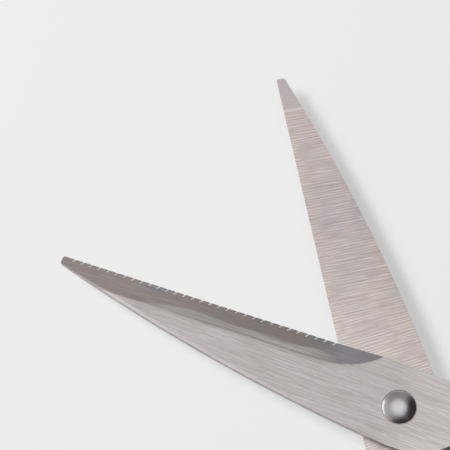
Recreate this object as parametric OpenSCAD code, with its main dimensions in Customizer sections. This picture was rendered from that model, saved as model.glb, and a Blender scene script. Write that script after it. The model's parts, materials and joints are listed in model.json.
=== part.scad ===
// Office scissors with a finely notched blade, a riveted pivot and moulded handles with soft grips.
// X runs forward, midway between the two blades. Z runs up along the pivot.
// The origin is on the pivot, in the plane of the undersides of the two finger bows.
//
// Both halves are drawn once, as the upper half, in its own frame: the pivot at the origin, the
// cutting edge parallel to +X at a negative Y, the spine at a positive Y, and the plane in which
// the two blades meet at Z = 0. The lower half is the same shape turned half a turn about X.

/* [Blades] */
// Length of each blade from the pivot to the tip
blade_length = 95; // [75:1:120]
// Thickness of the blade steel
blade_thickness = 2; // [1.6:0.1:2.4]
// Distance from the pivot to the line of the cutting edge
edge_offset = 10.75; // [10:0.25:12.5]
// Distance from the pivot to the spine of the upper blade
spine_offset = 10; // [9.5:0.25:12]
// How much wider the lower blade is at the pivot
lower_extra = 1; // [0:0.25:1]
// Slope of the spine where it leaves the pivot, towards the edge
spine_slope = 5.75; // [3:0.25:8]
// Width of the blunt tip
tip_width = 2.2; // [1.6:0.1:3]
// Rounding of the corners of the tip
tip_radius = 0.7; // [0.3:0.1:0.8]
// Angle between the two cutting edges as the scissors lie open
opening = 59; // [40:0.5:80]

/* [Ground bevel] */
// Width of the bevel ground along the cutting edge
bevel_width = 5.9; // [4:0.1:8]
// Thickness of steel left at the cutting edge
edge_thickness = 0.6; // [0.3:0.05:1]
// Radius of the wheel that hollows the bevel
wheel_radius = 45; // [30:1:80]
// Distance from the pivot to the near end of the bevel, on the edge
bevel_start = 7.2; // [6.5:0.1:14]
// Length over which the bevel runs out into the flat of the blade
bevel_runout = 15.5; // [8:0.5:20]

/* [Edge notches] */
// Distance between the fine notches along the upper blade's edge
notch_pitch = 2.38; // [2:0.02:2.6]
// Distance from the tip to the first notch
notch_from_tip = 3.7; // [2:0.1:4]
// Length of a notch across the bevel
notch_length = 1.5; // [0.6:0.1:2]
// Radius of the round file that cuts a notch
notch_radius = 0.38; // [0.2:0.02:0.4]
// Depth of a notch at the edge
notch_depth = 0.32; // [0.1:0.02:0.36]
// Tilt of the file, which makes a notch shallower away from the edge
notch_tilt = 22; // [0:1:30]
// Lean of a notch towards the tip
notch_lean = 30; // [0:1:40]

/* [Pivot] */
// Diameter of the rivet's shank
shank_d = 5; // [4:0.1:6]
// Diameter of the domed head
head_d = 8.5; // [8:0.1:11]
// Height of the domed head
head_h = 1.7; // [1.5:0.1:2.5]
// Diameter of the tail that is spread over the washer
tail_d = 7.4; // [6.5:0.1:9]
// Height of the spread tail
tail_h = 1.3; // [1:0.1:1.6]
// Diameter of the steel washer under the tail
tail_washer_d = 10; // [9:0.1:12]
// Thickness of the steel washer under the tail
tail_washer_t = 0.6; // [0.4:0.05:0.8]
// Diameter of the nylon washer between the blades
blade_washer_d = 14; // [10:0.5:16]
// Thickness of the nylon washer between the blades
blade_washer_t = 0.2; // [0.15:0.05:0.4]
// Radial clearance of the upper blade and the washer on the shank
running_clearance = 0.03; // [0.02:0.01:0.08]
// Play between the upper blade and the rivet's head
head_play = 0.05; // [0.02:0.01:0.1]

/* [Tangs] */
// Distance from the pivot to the outer side of the tang
tang_offset = 9.9; // [9:0.1:11]
// Width of the tang inside the handle
tang_width = 8; // [6:0.5:9]
// Length of the tang behind the pivot
tang_length = 42; // [36:1:48]
// Diameter of the hole in the tang that the handle's plastic fills
tang_hole_d = 4; // [3:0.5:5]

/* [Handles] */
// Height of the bows, which the scissors lie on
bow_height = 11.5; // [10:0.5:14]
// Width of a bow's hard rim
bow_rim = 6; // [5:0.25:8]
// Height of the handle's stem
stem_height = 10; // [9:0.25:12]
// Width of the front of the stem
stem_width = 13.4; // [12.4:0.2:15]
// Distance behind the pivot at which the stem reaches its full height
stem_start = 24.5; // [24.5:0.5:28]
// Gap between the two stems when the scissors are shut
shut_gap = 0.8; // [0.6:0.1:1.4]
// Rounding of the stem's edges
stem_edge = 1.4; // [0.8:0.1:2]
// Plastic around the inner side of the tang's shoulder
shoulder_wrap = 1; // [0.6:0.1:1.4]

/* [Finger bow] */
// Distance from the pivot to the middle of the finger bow
finger_reach = 74; // [70:1:85]
// Overall length of the finger bow
finger_bow_length = 76; // [70:1:86]
// Overall width of the finger bow
finger_bow_width = 42; // [40:1:48]

/* [Thumb bow] */
// Distance from the pivot to the middle of the thumb bow
thumb_reach = 71; // [66:1:80]
// Overall length of the thumb bow
thumb_bow_length = 58; // [54:1:64]
// Overall width of the thumb bow
thumb_bow_width = 40; // [38:1:44]

/* [Bow shape] */
// Radius of the bows' corners beside the middle line; the outer corners take up the rest
bow_inner_radius = 16; // [15:0.5:18]
// Gap between the two bows when the scissors are shut
bow_gap = 3; // [2:0.25:5]
// Thickness of the soft grip inside a bow
grip_thickness = 2.6; // [2.2:0.1:3.5]
// Height of the soft grip
grip_height = 8.6; // [7:0.1:9]
// Rounding of the outer edges of a bow's rim
rim_rounding = 3; // [2:0.25:3.5]
// Rounding of the inner edges of a bow's rim, beside the grip
rim_inner_rounding = 1; // [0.6:0.1:1.4]
// Rounding of the edges of the soft grip
grip_rounding = 2; // [1:0.1:2]

/* [Stops] */
// Distance from the pivot to the soft stops
stop_reach = 36; // [34:1:38]
// Length of a stop
stop_length = 9; // [6:0.5:10]
// Height of a stop
stop_height = 5; // [4:0.25:6]
// Thickness of a stop, most of which is let into the handle
stop_thickness = 2.6; // [2.2:0.1:2.8]
// Gap between the two stops when the scissors are shut
stop_gap = 0.2; // [0.1:0.05:0.4]

/* [Hidden] */
$fn = 64;

// Amount by which a cutting tool runs past the face that it cuts
past = 1;
// Parting plane of the two halves above the table
parting_z = bow_height / 2;
// Inner face of a blade above the parting plane
face_z = blade_washer_t / 2;
// Outer face of a blade above the parting plane
back_z = face_z + blade_thickness;
// Turn of each half from the middle line, open and shut: shut, the middles of the tips meet
open_turn = opening / 2;
shut_turn = atan((edge_offset - tip_width / 2) / blade_length);
// Middle of the stem's front, measured outwards from the middle line when shut
stem_middle = shut_gap / 2 + stem_width / 2;
// Shoulder of the tang, which crosses to its own side between the pivot and the stem
shoulder_front = [-12.5, spine_offset];
shoulder_back = shut_point(stem_start, stem_middle - tang_width / 2);
// Radius of the pads at the front corners of the stem
pad_radius = 3;
// Radius of the pads where the stem meets a bow, narrower than the rim
rim_pad_radius = bow_rim / 3;
// Places of those pads around the bow's inner and outer front corners
inner_pad_turn = 70;
outer_pad_turn = -25;
// How far a bow's window is cut into the stem, short of the bow's own rim
window_inset = bow_rim * 0.6;
// Roundings along the outline of the blade and its tang
shoulder_front_r = 5;
shoulder_back_r = 4;
tang_end_r = 1.5;
tang_side_r = 8;
edge_corner_r = 2;
// Distance behind the pivot at which the tang's outer side bends inwards
tang_bend = 12;
// Corners of the nose: ahead of the shoulder, down its slanted front, and inside the stem
nose_ahead = 5.6;
nose_slant = 2.6;
nose_sweep_r = 25;
nose_tip_r = 0.8;
nose_overlap = 6;
nose_sink = 2;
// Notches run from the tip a little way into the bevel's runout, this share of which stays plain
plain_runout = 0.8;
plain_end = bevel_start + bevel_runout * plain_runout;
notch_count = floor((blade_length - notch_from_tip - plain_end) / notch_pitch) + 1;

// Point a distance behind the pivot and outwards from the middle line when shut, in a half's frame
function shut_point(back, out) =
    [-back * cos(shut_turn) - out * sin(shut_turn), back * sin(shut_turn) - out * cos(shut_turn)];

// Points of an arc of radius r that rounds the corner b between a and c
function corner(a, b, c, r, steps = 8) =
    let (u = (a - b) / norm(a - b), v = (c - b) / norm(c - b))
    let (half = acos(u * v) / 2, middle = b + (u + v) / norm(u + v) * r / sin(half))
    let (from = b + u * r / tan(half) - middle, to = b + v * r / tan(half) - middle)
    let (start = atan2(from.y, from.x), sweep = atan2(to.y, to.x) - start)
    let (turn = sweep > 180 ? sweep - 360 : sweep < -180 ? sweep + 360 : sweep)
    [for (i = [0:steps]) middle + r * [cos(start + turn * i / steps), sin(start + turn * i / steps)]];

// Outline through the given corners, each [point, radius]
function outline(c) =
    [for (i = [0:len(c) - 1])
        let (a = c[(i + len(c) - 1) % len(c)], b = c[i], d = c[(i + 1) % len(c)])
        for (p = b[1] > 0 ? corner(a[0], b[0], d[0], b[1]) : [b[0]]) p];

// Radius of the arc of the spine, which ends at the tip; extra widens the blade at the pivot
function spine_radius(extra) =
    let (drop = spine_offset + extra + edge_offset - tip_width - blade_length * tan(spine_slope))
    (blade_length * blade_length + drop * drop) / (2 * drop);

// Height of the spine at a distance ahead of the pivot
function spine(s, extra) =
    let (r = spine_radius(extra))
    spine_offset + extra - s * tan(spine_slope) - r + sqrt(r * r - s * s);

module upper_half() {
    translate([0, 0, parting_z]) rotate([0, 0, open_turn]) children();
}

module lower_half() {
    translate([0, 0, parting_z]) rotate([180, 0, 0]) rotate([0, 0, open_turn]) children();
}

// Frame of a bow or stem: pieces along X run parallel to the middle line when shut
module shut_frame() {
    rotate([0, 0, -shut_turn]) children();
}

// Outline of the blade and its tang
module blade_outline(extra) {
    tip = blade_length;
    spine_points = [for (i = [1:15]) let (s = tip * (1 - i / 15)) [[s, spine(s, extra)], 0]];
    polygon(outline(concat(
        [[[tip, -edge_offset], tip_radius], [[tip, spine(tip, extra)], tip_radius]],
        spine_points,
        [[shoulder_front + [0, extra], shoulder_front_r], [shoulder_back, shoulder_back_r]],
        [[shut_point(tang_length, stem_middle - tang_width / 2), tang_end_r]],
        [[shut_point(tang_length, stem_middle + tang_width / 2), tang_end_r]],
        [[shut_point(stem_start, stem_middle + tang_width / 2), tang_side_r]],
        [[[-tang_bend, -tang_offset], tang_side_r], [[0, -(tang_offset + edge_offset) / 2], 0]],
        [[[bevel_start - 1, -edge_offset], edge_corner_r]]
    )));
}

// Grinding wheel: its rim hollows the bevel and is rounded at the end nearer the pivot
module wheel() {
    rise = edge_thickness - blade_thickness;
    tilt = atan(rise / bevel_width);
    chord = norm([bevel_width, rise]);
    sink = sqrt(wheel_radius * wheel_radius - chord * chord / 4);
    middle_y = -edge_offset + bevel_width / 2 + sink * sin(tilt);
    middle_z = face_z + (edge_thickness + blade_thickness) / 2 + sink * cos(tilt);
    full = bevel_start + bevel_runout;
    depth = blade_thickness - edge_thickness;
    rounding = (bevel_runout * bevel_runout + depth * depth) / (2 * depth);
    translate([0, middle_y, middle_z]) rotate([90, 0, 90]) rotate_extrude($fn = 128)
        intersection() {
            square([wheel_radius, blade_length + past]);
            union() {
                translate([0, full]) square([wheel_radius, blade_length]);
                translate([wheel_radius - rounding, full]) circle(rounding);
            }
        }
}

// Fine notches along the cutting edge
module notches() {
    slope = atan((blade_thickness - edge_thickness) / bevel_width) / 2;
    for (i = [0:notch_count - 1])
        translate([blade_length - notch_from_tip - i * notch_pitch, -edge_offset, face_z])
            translate([0, 0, edge_thickness + notch_radius - notch_depth])
                rotate([slope + notch_tilt - 90, 0, -notch_lean])
                    translate([0, 0, -past]) cylinder(h = notch_length + past, r = notch_radius, $fn = 24);
}

// One blade with its tang; bore is the diameter of its pivot hole
module blade(bore, extra) {
    difference() {
        translate([0, 0, face_z]) linear_extrude(blade_thickness) blade_outline(extra);
        wheel();
        translate([0, 0, face_z - past]) cylinder(h = blade_thickness + 2 * past, d = bore);
        translate(shut_point((stem_start + tang_length) / 2, stem_middle))
            translate([0, 0, face_z - past]) cylinder(h = blade_thickness + 2 * past, d = tang_hole_d);
    }
}

// D-shaped ring, swept with a section drawn inwards from the outer edge at X = 0.
// Its straighter side faces the middle line, at +Y.
module bow(length, width) {
    outer_radius = width - bow_inner_radius;
    middle_y = width / 2 - bow_inner_radius;
    for (side = [0, 1]) mirror([side, 0, 0]) {
        translate([length / 2 - bow_inner_radius, middle_y])
            rotate_extrude(angle = 90) translate([bow_inner_radius, 0]) children();
        translate([length / 2 - outer_radius, middle_y])
            rotate([0, 0, -90]) rotate_extrude(angle = 90) translate([outer_radius, 0]) children();
    }
    translate([0, width / 2]) straight(length - 2 * bow_inner_radius) children();
    mirror([0, 1, 0]) translate([0, width / 2]) straight(length - 2 * outer_radius) children();
}

// Straight run of a ring along X, its section's outer edge facing +Y
module straight(length) {
    rotate([90, 0, 90]) linear_extrude(length, center = true) children();
}

// Block that fills a bow, taken in all round by inset
module bow_block(length, width, inset, height) {
    x = length / 2 - inset;
    y = width / 2 - inset;
    inner = bow_inner_radius - inset - 0.2;
    outer = width - bow_inner_radius - inset - 0.2;
    translate([0, 0, -height / 2]) linear_extrude(height)
        polygon(outline([[[x, y], inner], [[-x, y], inner], [[-x, -y], outer], [[x, -y], outer]]));
}

// Section of a bow's hard rim: well rounded outside, nearly square where the grip sits
module rim_section() {
    h = bow_height / 2;
    difference() {
        translate([-bow_rim, -h]) square([bow_rim, bow_height]);
        for (side = [-1, 1]) {
            corner_cut(rim_rounding, [0, side * h], [-1, -side]);
            corner_cut(rim_inner_rounding, [-bow_rim, side * h], [1, -side]);
        }
    }
}

// Waste outside a round corner; way points from the corner into the section
module corner_cut(r, at, way) {
    difference() {
        translate(at - way * past + [min(0, way.x * (r + past)), min(0, way.y * (r + past))])
            square(r + past);
        translate(at + way * r) circle(r);
    }
}

// Section of a soft grip: flat against the rim, rounded towards the fingers
module grip_section() {
    h = grip_height / 2;
    translate([-bow_rim, 0]) difference() {
        translate([-grip_thickness, -h]) square([grip_thickness, grip_height]);
        for (side = [-1, 1]) corner_cut(grip_rounding, [-grip_thickness, side * h], [1, -side]);
    }
}

// Place of a bow in its half
module bow_place(reach, width) {
    shut_frame() translate([-reach, -(bow_gap + width) / 2]) children();
}

// Round pad with chamfered edges that shapes the stem
module pad(r) {
    cylinder(h = stem_height - 2 * stem_edge, r = r, center = true, $fn = 32);
    cylinder(h = stem_height, r = r - stem_edge, center = true, $fn = 32);
}

// Stem from its full-height front to two places on the front of the bow
module stem(reach, length, width) {
    outer_radius = width - bow_inner_radius;
    middle_y = -bow_gap / 2 - bow_inner_radius;
    shut_frame() hull() {
        for (out = [shut_gap / 2 + pad_radius, shut_gap / 2 + stem_width - pad_radius])
            translate([-stem_start - pad_radius, -out]) pad(pad_radius);
        translate([length / 2 - reach - bow_inner_radius, middle_y])
            rotate([0, 0, inner_pad_turn]) translate([bow_inner_radius - bow_rim / 2, 0])
                pad(rim_pad_radius);
        translate([length / 2 - reach - outer_radius, middle_y])
            rotate([0, 0, outer_pad_turn]) translate([outer_radius - bow_rim / 2, 0])
                pad(rim_pad_radius);
    }
}

// Plastic over the outer face of the tang: its front edge slants back from the inner shoulder
module nose(extra) {
    inner_side = spine_offset + extra + shoulder_wrap;
    back = stem_start + nose_overlap;
    outer_side = shut_gap / 2 + stem_width;
    translate([0, 0, face_z]) linear_extrude(stem_height / 2 - face_z) polygon(outline([
        [[shoulder_front.x + nose_ahead, inner_side], nose_tip_r],
        [[shoulder_front.x - shoulder_wrap / 3, inner_side], shoulder_front_r],
        [shoulder_back + shoulder_wrap * [-1, 1 / 3], 0],
        [shut_point(back, shut_gap / 2 + nose_sink), 0],
        [shut_point(back, outer_side - nose_sink), 0],
        [shut_point(back - nose_overlap / 2, outer_side - nose_sink / 5), 0],
        [[shoulder_front.x - nose_slant, spine_offset / 2], nose_sweep_r]
    ]));
}

// Hard handle of a half, with the tang's place left out of it
module handle(reach, length, width, extra) {
    difference() {
        union() {
            difference() {
                union() {
                    stem(reach, length, width);
                    nose(extra);
                }
                bow_place(reach, width) bow_block(length, width, window_inset, bow_height + past);
            }
            bow_place(reach, width) bow(length, width) rim_section();
        }
        translate([0, 0, face_z]) linear_extrude(blade_thickness) difference() {
            blade_outline(extra);
            translate(shut_point((stem_start + tang_length) / 2, stem_middle)) circle(d = tang_hole_d);
        }
        stop();
    }
}

// Soft block that is let into the handle's inner side and meets the other one when shut
module stop() {
    size = [stop_length, stop_thickness, stop_height];
    shut_frame() translate([-stop_reach, -(stop_gap + stop_thickness) / 2]) cube(size, center = true);
}

module rear_blade() { color("#a8a09e") lower_half() blade(shank_d, lower_extra); }

module front_blade() {
    color("#b7b3b0") upper_half() difference() {
        blade(shank_d + 2 * running_clearance, 0);
        notches();
    }
}

module rear_handle() {
    color("#2b2a2e") lower_half() handle(finger_reach, finger_bow_length, finger_bow_width, lower_extra);
}

module front_handle() {
    color("#2b2a2e") upper_half() handle(thumb_reach, thumb_bow_length, thumb_bow_width, 0);
}

module finger_grip() {
    color("#4a484e") lower_half() bow_place(finger_reach, finger_bow_width)
        bow(finger_bow_length, finger_bow_width) grip_section();
}

module thumb_grip() {
    color("#4a484e") upper_half() bow_place(thumb_reach, thumb_bow_width)
        bow(thumb_bow_length, thumb_bow_width) grip_section();
}

module rear_stop() { color("#4a484e") lower_half() stop(); }

module front_stop() { color("#4a484e") upper_half() stop(); }

// Rivet: domed head on the upper blade, shank through both, tail spread over its washer
module pivot_rivet() {
    head_z = parting_z + back_z + head_play;
    tail_z = parting_z - back_z - tail_washer_t;
    head_r = (head_d * head_d / 4 + head_h * head_h) / (2 * head_h);
    tail_r = (tail_d * tail_d / 4 + tail_h * tail_h) / (2 * tail_h);
    color("#8d8b8a") union() {
        translate([0, 0, tail_z]) cylinder(h = head_z - tail_z, d = shank_d);
        intersection() {
            translate([0, 0, head_z + head_h - head_r]) sphere(head_r);
            translate([0, 0, head_z]) cylinder(h = head_h + past, d = head_d + past);
        }
        intersection() {
            translate([0, 0, tail_z - tail_h + tail_r]) sphere(tail_r);
            translate([0, 0, tail_z - tail_h - past]) cylinder(h = tail_h + past, d = tail_d + past);
        }
    }
}

module washer(z, outer, bore, thick) {
    translate([0, 0, z]) difference() {
        cylinder(h = thick, d = outer);
        translate([0, 0, -past]) cylinder(h = thick + 2 * past, d = bore);
    }
}

module tail_washer() {
    color("#9b9997") washer(parting_z - back_z - tail_washer_t, tail_washer_d, shank_d, tail_washer_t);
}

module blade_washer() {
    color("#e8e6df")
        washer(parting_z - face_z, blade_washer_d, shank_d + 2 * running_clearance, blade_washer_t);
}

rear_blade();
front_blade();
pivot_rivet();
tail_washer();
blade_washer();
rear_handle();
front_handle();
finger_grip();
thumb_grip();
rear_stop();
front_stop();
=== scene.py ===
"""Office scissors: the finished look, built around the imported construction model.

Each half of the scissors is drawn in its own frame, in millimetres: the pivot at the origin, the
cutting edge parallel to +X at a negative Y, the spine at a positive Y and the parting plane, in
which the two blades meet, at Z = 0. A half is put in its place only when its mesh is finished.
"""
import sys

import json
import logging
import math
from dataclasses import dataclass, field
from enum import Enum
from typing import Optional, Sequence, Union

import bpy
from mathutils import Matrix, Vector


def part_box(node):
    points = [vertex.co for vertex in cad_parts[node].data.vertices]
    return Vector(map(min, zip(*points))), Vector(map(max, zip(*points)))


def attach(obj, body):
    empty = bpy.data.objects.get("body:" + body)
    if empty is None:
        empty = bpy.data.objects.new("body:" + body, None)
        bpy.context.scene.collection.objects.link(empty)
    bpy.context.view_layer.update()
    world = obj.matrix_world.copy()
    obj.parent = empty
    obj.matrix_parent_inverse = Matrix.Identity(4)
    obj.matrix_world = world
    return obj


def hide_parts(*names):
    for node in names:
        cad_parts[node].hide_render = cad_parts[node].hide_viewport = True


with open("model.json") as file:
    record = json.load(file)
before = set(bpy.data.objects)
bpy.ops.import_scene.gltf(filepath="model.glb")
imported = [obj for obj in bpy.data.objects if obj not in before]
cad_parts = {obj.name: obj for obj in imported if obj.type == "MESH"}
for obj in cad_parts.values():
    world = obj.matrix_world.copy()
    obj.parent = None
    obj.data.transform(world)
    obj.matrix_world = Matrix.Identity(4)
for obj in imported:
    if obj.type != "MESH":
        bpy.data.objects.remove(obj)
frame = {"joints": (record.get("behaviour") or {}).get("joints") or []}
log = logging.getLogger("scissors")

MM = 0.001
Colour = tuple[float, float, float]
Pair = tuple[float, float]
Number = Union[int, float, "Term"]


class Half(Enum):
    """The two halves of the scissors, named after their bodies in the construction model."""

    UPPER = "front"
    LOWER = "rear"

    @property
    def body(self) -> str:
        """Name of the body that this half's pieces ride on."""
        return f"{self.value}_half"

    @property
    def side(self) -> int:
        """1 for the half that lies above the parting plane, -1 for the one below it."""
        return 1 if self is Half.UPPER else -1


# --------------------------------------------------------------------------- node trees


class Term:
    """A node's output that takes part in Python arithmetic: each operator adds a Math node."""

    def __init__(self, graph: "Graph", socket: bpy.types.NodeSocket) -> None:
        """Wraps a socket of a graph."""
        self.graph = graph
        self.socket = socket

    def out(self, name: str) -> "Term":
        """Another output of the same node."""
        return Term(self.graph, self.socket.node.outputs[name])

    def math(self, operation: str, *others: Number) -> "Term":
        """A Math node on this value and others.

        Args:
            operation: the Math node's operation.
            others: the node's second and third values.

        Returns:
            The node's value.
        """
        return self.graph.add("ShaderNodeMath", {"operation": operation}, dict(enumerate((self, *others))))

    def __add__(self, other: Number) -> "Term":
        """Sum."""
        return self.math("ADD", other)

    __radd__ = __add__

    def __sub__(self, other: Number) -> "Term":
        """Difference."""
        return self.math("SUBTRACT", other)

    def __rsub__(self, other: Number) -> "Term":
        """Difference, with this value taken away."""
        return self.graph.add("ShaderNodeMath", {"operation": "SUBTRACT"}, {0: other, 1: self})

    def __mul__(self, other: Number) -> "Term":
        """Product."""
        return self.math("MULTIPLY", other)

    __rmul__ = __mul__

    def __truediv__(self, other: Number) -> "Term":
        """Quotient."""
        return self.math("DIVIDE", other)

    def __neg__(self) -> "Term":
        """This value with its sign changed."""
        return self.math("MULTIPLY", -1.0)

    def __abs__(self) -> "Term":
        """Absolute value."""
        return self.math("ABSOLUTE")

    def at_least(self, low: Number) -> "Term":
        """The larger of this value and another."""
        return self.math("MAXIMUM", low)

    def at_most(self, high: Number) -> "Term":
        """The smaller of this value and another."""
        return self.math("MINIMUM", high)

    def below(self, limit: Number) -> "Term":
        """1 where this value is under the limit, 0 elsewhere."""
        return self.math("LESS_THAN", limit)

    def root(self) -> "Term":
        """Square root."""
        return self.math("SQRT")

    def ramp(self, start: float, end: float, low: float = 0.0, high: float = 1.0) -> "Term":
        """A smooth step between two values.

        Args:
            start: value at which the step begins; it may be above end.
            end: value at which the step is complete.
            low: result before the step.
            high: result after the step.

        Returns:
            The stepped value.
        """
        if start > end:
            start, end, low, high = end, start, high, low
        return self.graph.add(
            "ShaderNodeMapRange", {"interpolation_type": "SMOOTHSTEP"},
            {"Value": self, "From Min": start, "From Max": end, "To Min": low, "To Max": high})


class Graph:
    """A shader or geometry node tree under construction."""

    def __init__(self, tree: bpy.types.NodeTree) -> None:
        """Starts an empty tree."""
        self.tree = tree
        tree.nodes.clear()

    def add(self, kind: str, settings: Optional[dict] = None, values: Optional[dict] = None) -> Term:
        """Adds a node.

        Args:
            kind: the node's type.
            settings: properties of the node, set before its sockets.
            values: values or links for its inputs, by name or number; a list is linked in order.

        Returns:
            The node's first enabled output.
        """
        node = self.tree.nodes.new(kind)
        for name, value in (settings or {}).items():
            setattr(node, name, value)
        for name, value in (values or {}).items():
            for one in value if isinstance(value, list) else [value]:
                if isinstance(one, Term):
                    self.tree.links.new(one.socket, node.inputs[name])
                else:
                    node.inputs[name].default_value = one
        outputs = [socket for socket in node.outputs if socket.enabled]
        return Term(self, outputs[0]) if outputs else Term(self, node.inputs[0])

    def mix(self, factor: Number, first: Union[Colour, Term], second: Union[Colour, Term]) -> Term:
        """A mixed colour.

        Args:
            factor: share of the second colour.
            first: the first colour.
            second: the second colour.

        Returns:
            The mixed colour.
        """
        first, second = ((*c, 1.0) if isinstance(c, tuple) else c for c in (first, second))
        node = self.add("ShaderNodeMix", {"data_type": "RGBA"}, {"Factor": factor})
        for name, value in ((6, first), (7, second)):
            target = node.socket.node.inputs[name]
            if isinstance(value, Term):
                self.tree.links.new(value.socket, target)
            else:
                target.default_value = value
        return node

    def vector(self, x: Number, y: Number, z: Number) -> Term:
        """A vector made of three values."""
        return self.add("ShaderNodeCombineXYZ", None, {"X": x, "Y": y, "Z": z})

    def scaled(self, value: Term, factor: Number) -> Term:
        """A colour or a vector times a factor."""
        return self.add("ShaderNodeVectorMath", {"operation": "SCALE"}, {0: value, "Scale": factor})

    def noise(self, place: Term, scale: float, detail: float = 2.0, roughness: float = 0.5) -> Term:
        """A noise value from 0 to 1 at a place."""
        return self.add("ShaderNodeTexNoise", None,
                        {"Vector": place, "Scale": scale, "Detail": detail, "Roughness": roughness})


class ShapeGraph(Graph):
    """A geometry node tree with named inputs."""

    KINDS = {float: "NodeSocketFloat", int: "NodeSocketInt", Vector: "NodeSocketVector",
             bpy.types.Material: "NodeSocketMaterial"}

    def __init__(self, name: str, inputs: dict[str, object]) -> None:
        """Starts a tree.

        Args:
            name: name of the tree.
            inputs: the tree's named inputs with their values, besides its geometry.
        """
        super().__init__(bpy.data.node_groups.new(name, "GeometryNodeTree"))
        face = self.tree.interface
        face.new_socket("Geometry", in_out="INPUT", socket_type="NodeSocketGeometry")
        face.new_socket("Geometry", in_out="OUTPUT", socket_type="NodeSocketGeometry")
        self.values = {}
        for label, value in inputs.items():
            kind = next(kind for base, kind in self.KINDS.items() if isinstance(value, base))
            self.values[face.new_socket(label, in_out="INPUT", socket_type=kind).identifier] = value
        self.inputs = self.add("NodeGroupInput")

    def get(self, name: str) -> Term:
        """One of the tree's named inputs."""
        return self.inputs.out(name)

    def finish(self, shape: Term, material: Term, selection: Optional[Term] = None) -> None:
        """Ends the tree: instances become real and the material is set."""
        real = self.add("GeometryNodeRealizeInstances", None, {"Geometry": shape})
        values = {"Geometry": real, "Material": material}
        if selection is not None:
            values["Selection"] = selection
        self.add("NodeGroupOutput", None, {0: self.add("GeometryNodeSetMaterial", None, values)})

    def bake(self, base: Optional[bpy.types.Mesh] = None) -> bpy.types.Mesh:
        """Runs the tree.

        Args:
            base: mesh that the tree starts from, if it needs one.

        Returns:
            The result as a plain mesh.
        """
        holder = bpy.data.objects.new("holder", base or bpy.data.meshes.new("holder"))
        bpy.context.scene.collection.objects.link(holder)
        modifier = holder.modifiers.new(self.tree.name, "NODES")
        modifier.node_group = self.tree
        for identifier, value in self.values.items():
            modifier[identifier] = value
        evaluated = holder.evaluated_get(bpy.context.evaluated_depsgraph_get())
        mesh = bpy.data.meshes.new_from_object(evaluated)
        holder.modifiers.remove(modifier)
        bpy.data.objects.remove(holder)
        return mesh


# --------------------------------------------------------------------------- finishes


class Surface:
    """A procedural material under construction around one Principled shader."""

    def __init__(self, name: str) -> None:
        """Starts a material.

        Args:
            name: name of the material.
        """
        self.material = bpy.data.materials.new(name)
        self.material.use_nodes = True
        self.graph = Graph(self.material.node_tree)
        self.shader = self.graph.add("ShaderNodeBsdfPrincipled").socket.node
        shine = Term(self.graph, self.shader.outputs[0])
        self.graph.add("ShaderNodeOutputMaterial", None, {"Surface": shine})
        self.place = self.graph.add("ShaderNodeTexCoord").out("Object")

    def millimetres(self) -> tuple[Term, Term, Term]:
        """Place on the surface, as three values in millimetres."""
        scaled = self.graph.scaled(self.place, 1 / MM)
        apart = self.graph.add("ShaderNodeSeparateXYZ", None, {0: scaled})
        return apart.out("X"), apart.out("Y"), apart.out("Z")

    def set(self, **sockets: object) -> None:
        """Sets the shader's sockets, named with underscores, to a value, a colour or a term."""
        for name, value in sockets.items():
            target = self.shader.inputs[name.replace("_", " ").title().replace("Ior", "IOR")]
            if isinstance(value, Term):
                self.graph.tree.links.new(value.socket, target)
            else:
                target.default_value = (*value, 1.0) if isinstance(value, tuple) else value

    def bump(self, height: Term, depth: float) -> None:
        """Gives the surface a fine relief.

        Args:
            height: height from 0 to 1.
            depth: depth of the relief in millimetres.
        """
        bump = self.graph.add("ShaderNodeBump", None,
                              {"Height": height, "Distance": depth * MM, "Strength": 1.0})
        self.graph.tree.links.new(bump.socket, self.shader.inputs["Normal"])


@dataclass(frozen=True)
class Step:
    """A smooth step of a value from one level to another.

    Attributes:
        start: value at which the step begins; it may be above end.
        end: value at which the step is complete.
        low: level before the step.
        high: level after the step.
    """

    start: float
    end: float
    low: float = 0.0
    high: float = 1.0

    def at(self, value: Term) -> Term:
        """The level at a value."""
        return value.ramp(self.start, self.end, self.low, self.high)


@dataclass(frozen=True)
class Grain:
    """A noise pattern that is drawn out along or across a blade.

    Attributes:
        along: steps of the pattern per millimetre along the blade.
        across: steps of the pattern per millimetre across the blade.
        layer: place in the noise's third direction, which keeps patterns apart.
        detail: number of finer layers.
        roughness: strength of the finer layers.
    """

    along: float
    across: float
    layer: float
    detail: float = 2.0
    roughness: float = 0.5

    def at(self, graph: Graph, along: Term, across: Term) -> Term:
        """The pattern at a place on the blade."""
        place = graph.vector(along * self.along, across * self.across, self.layer)
        return graph.noise(place, 1.0, self.detail, self.roughness)


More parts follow.
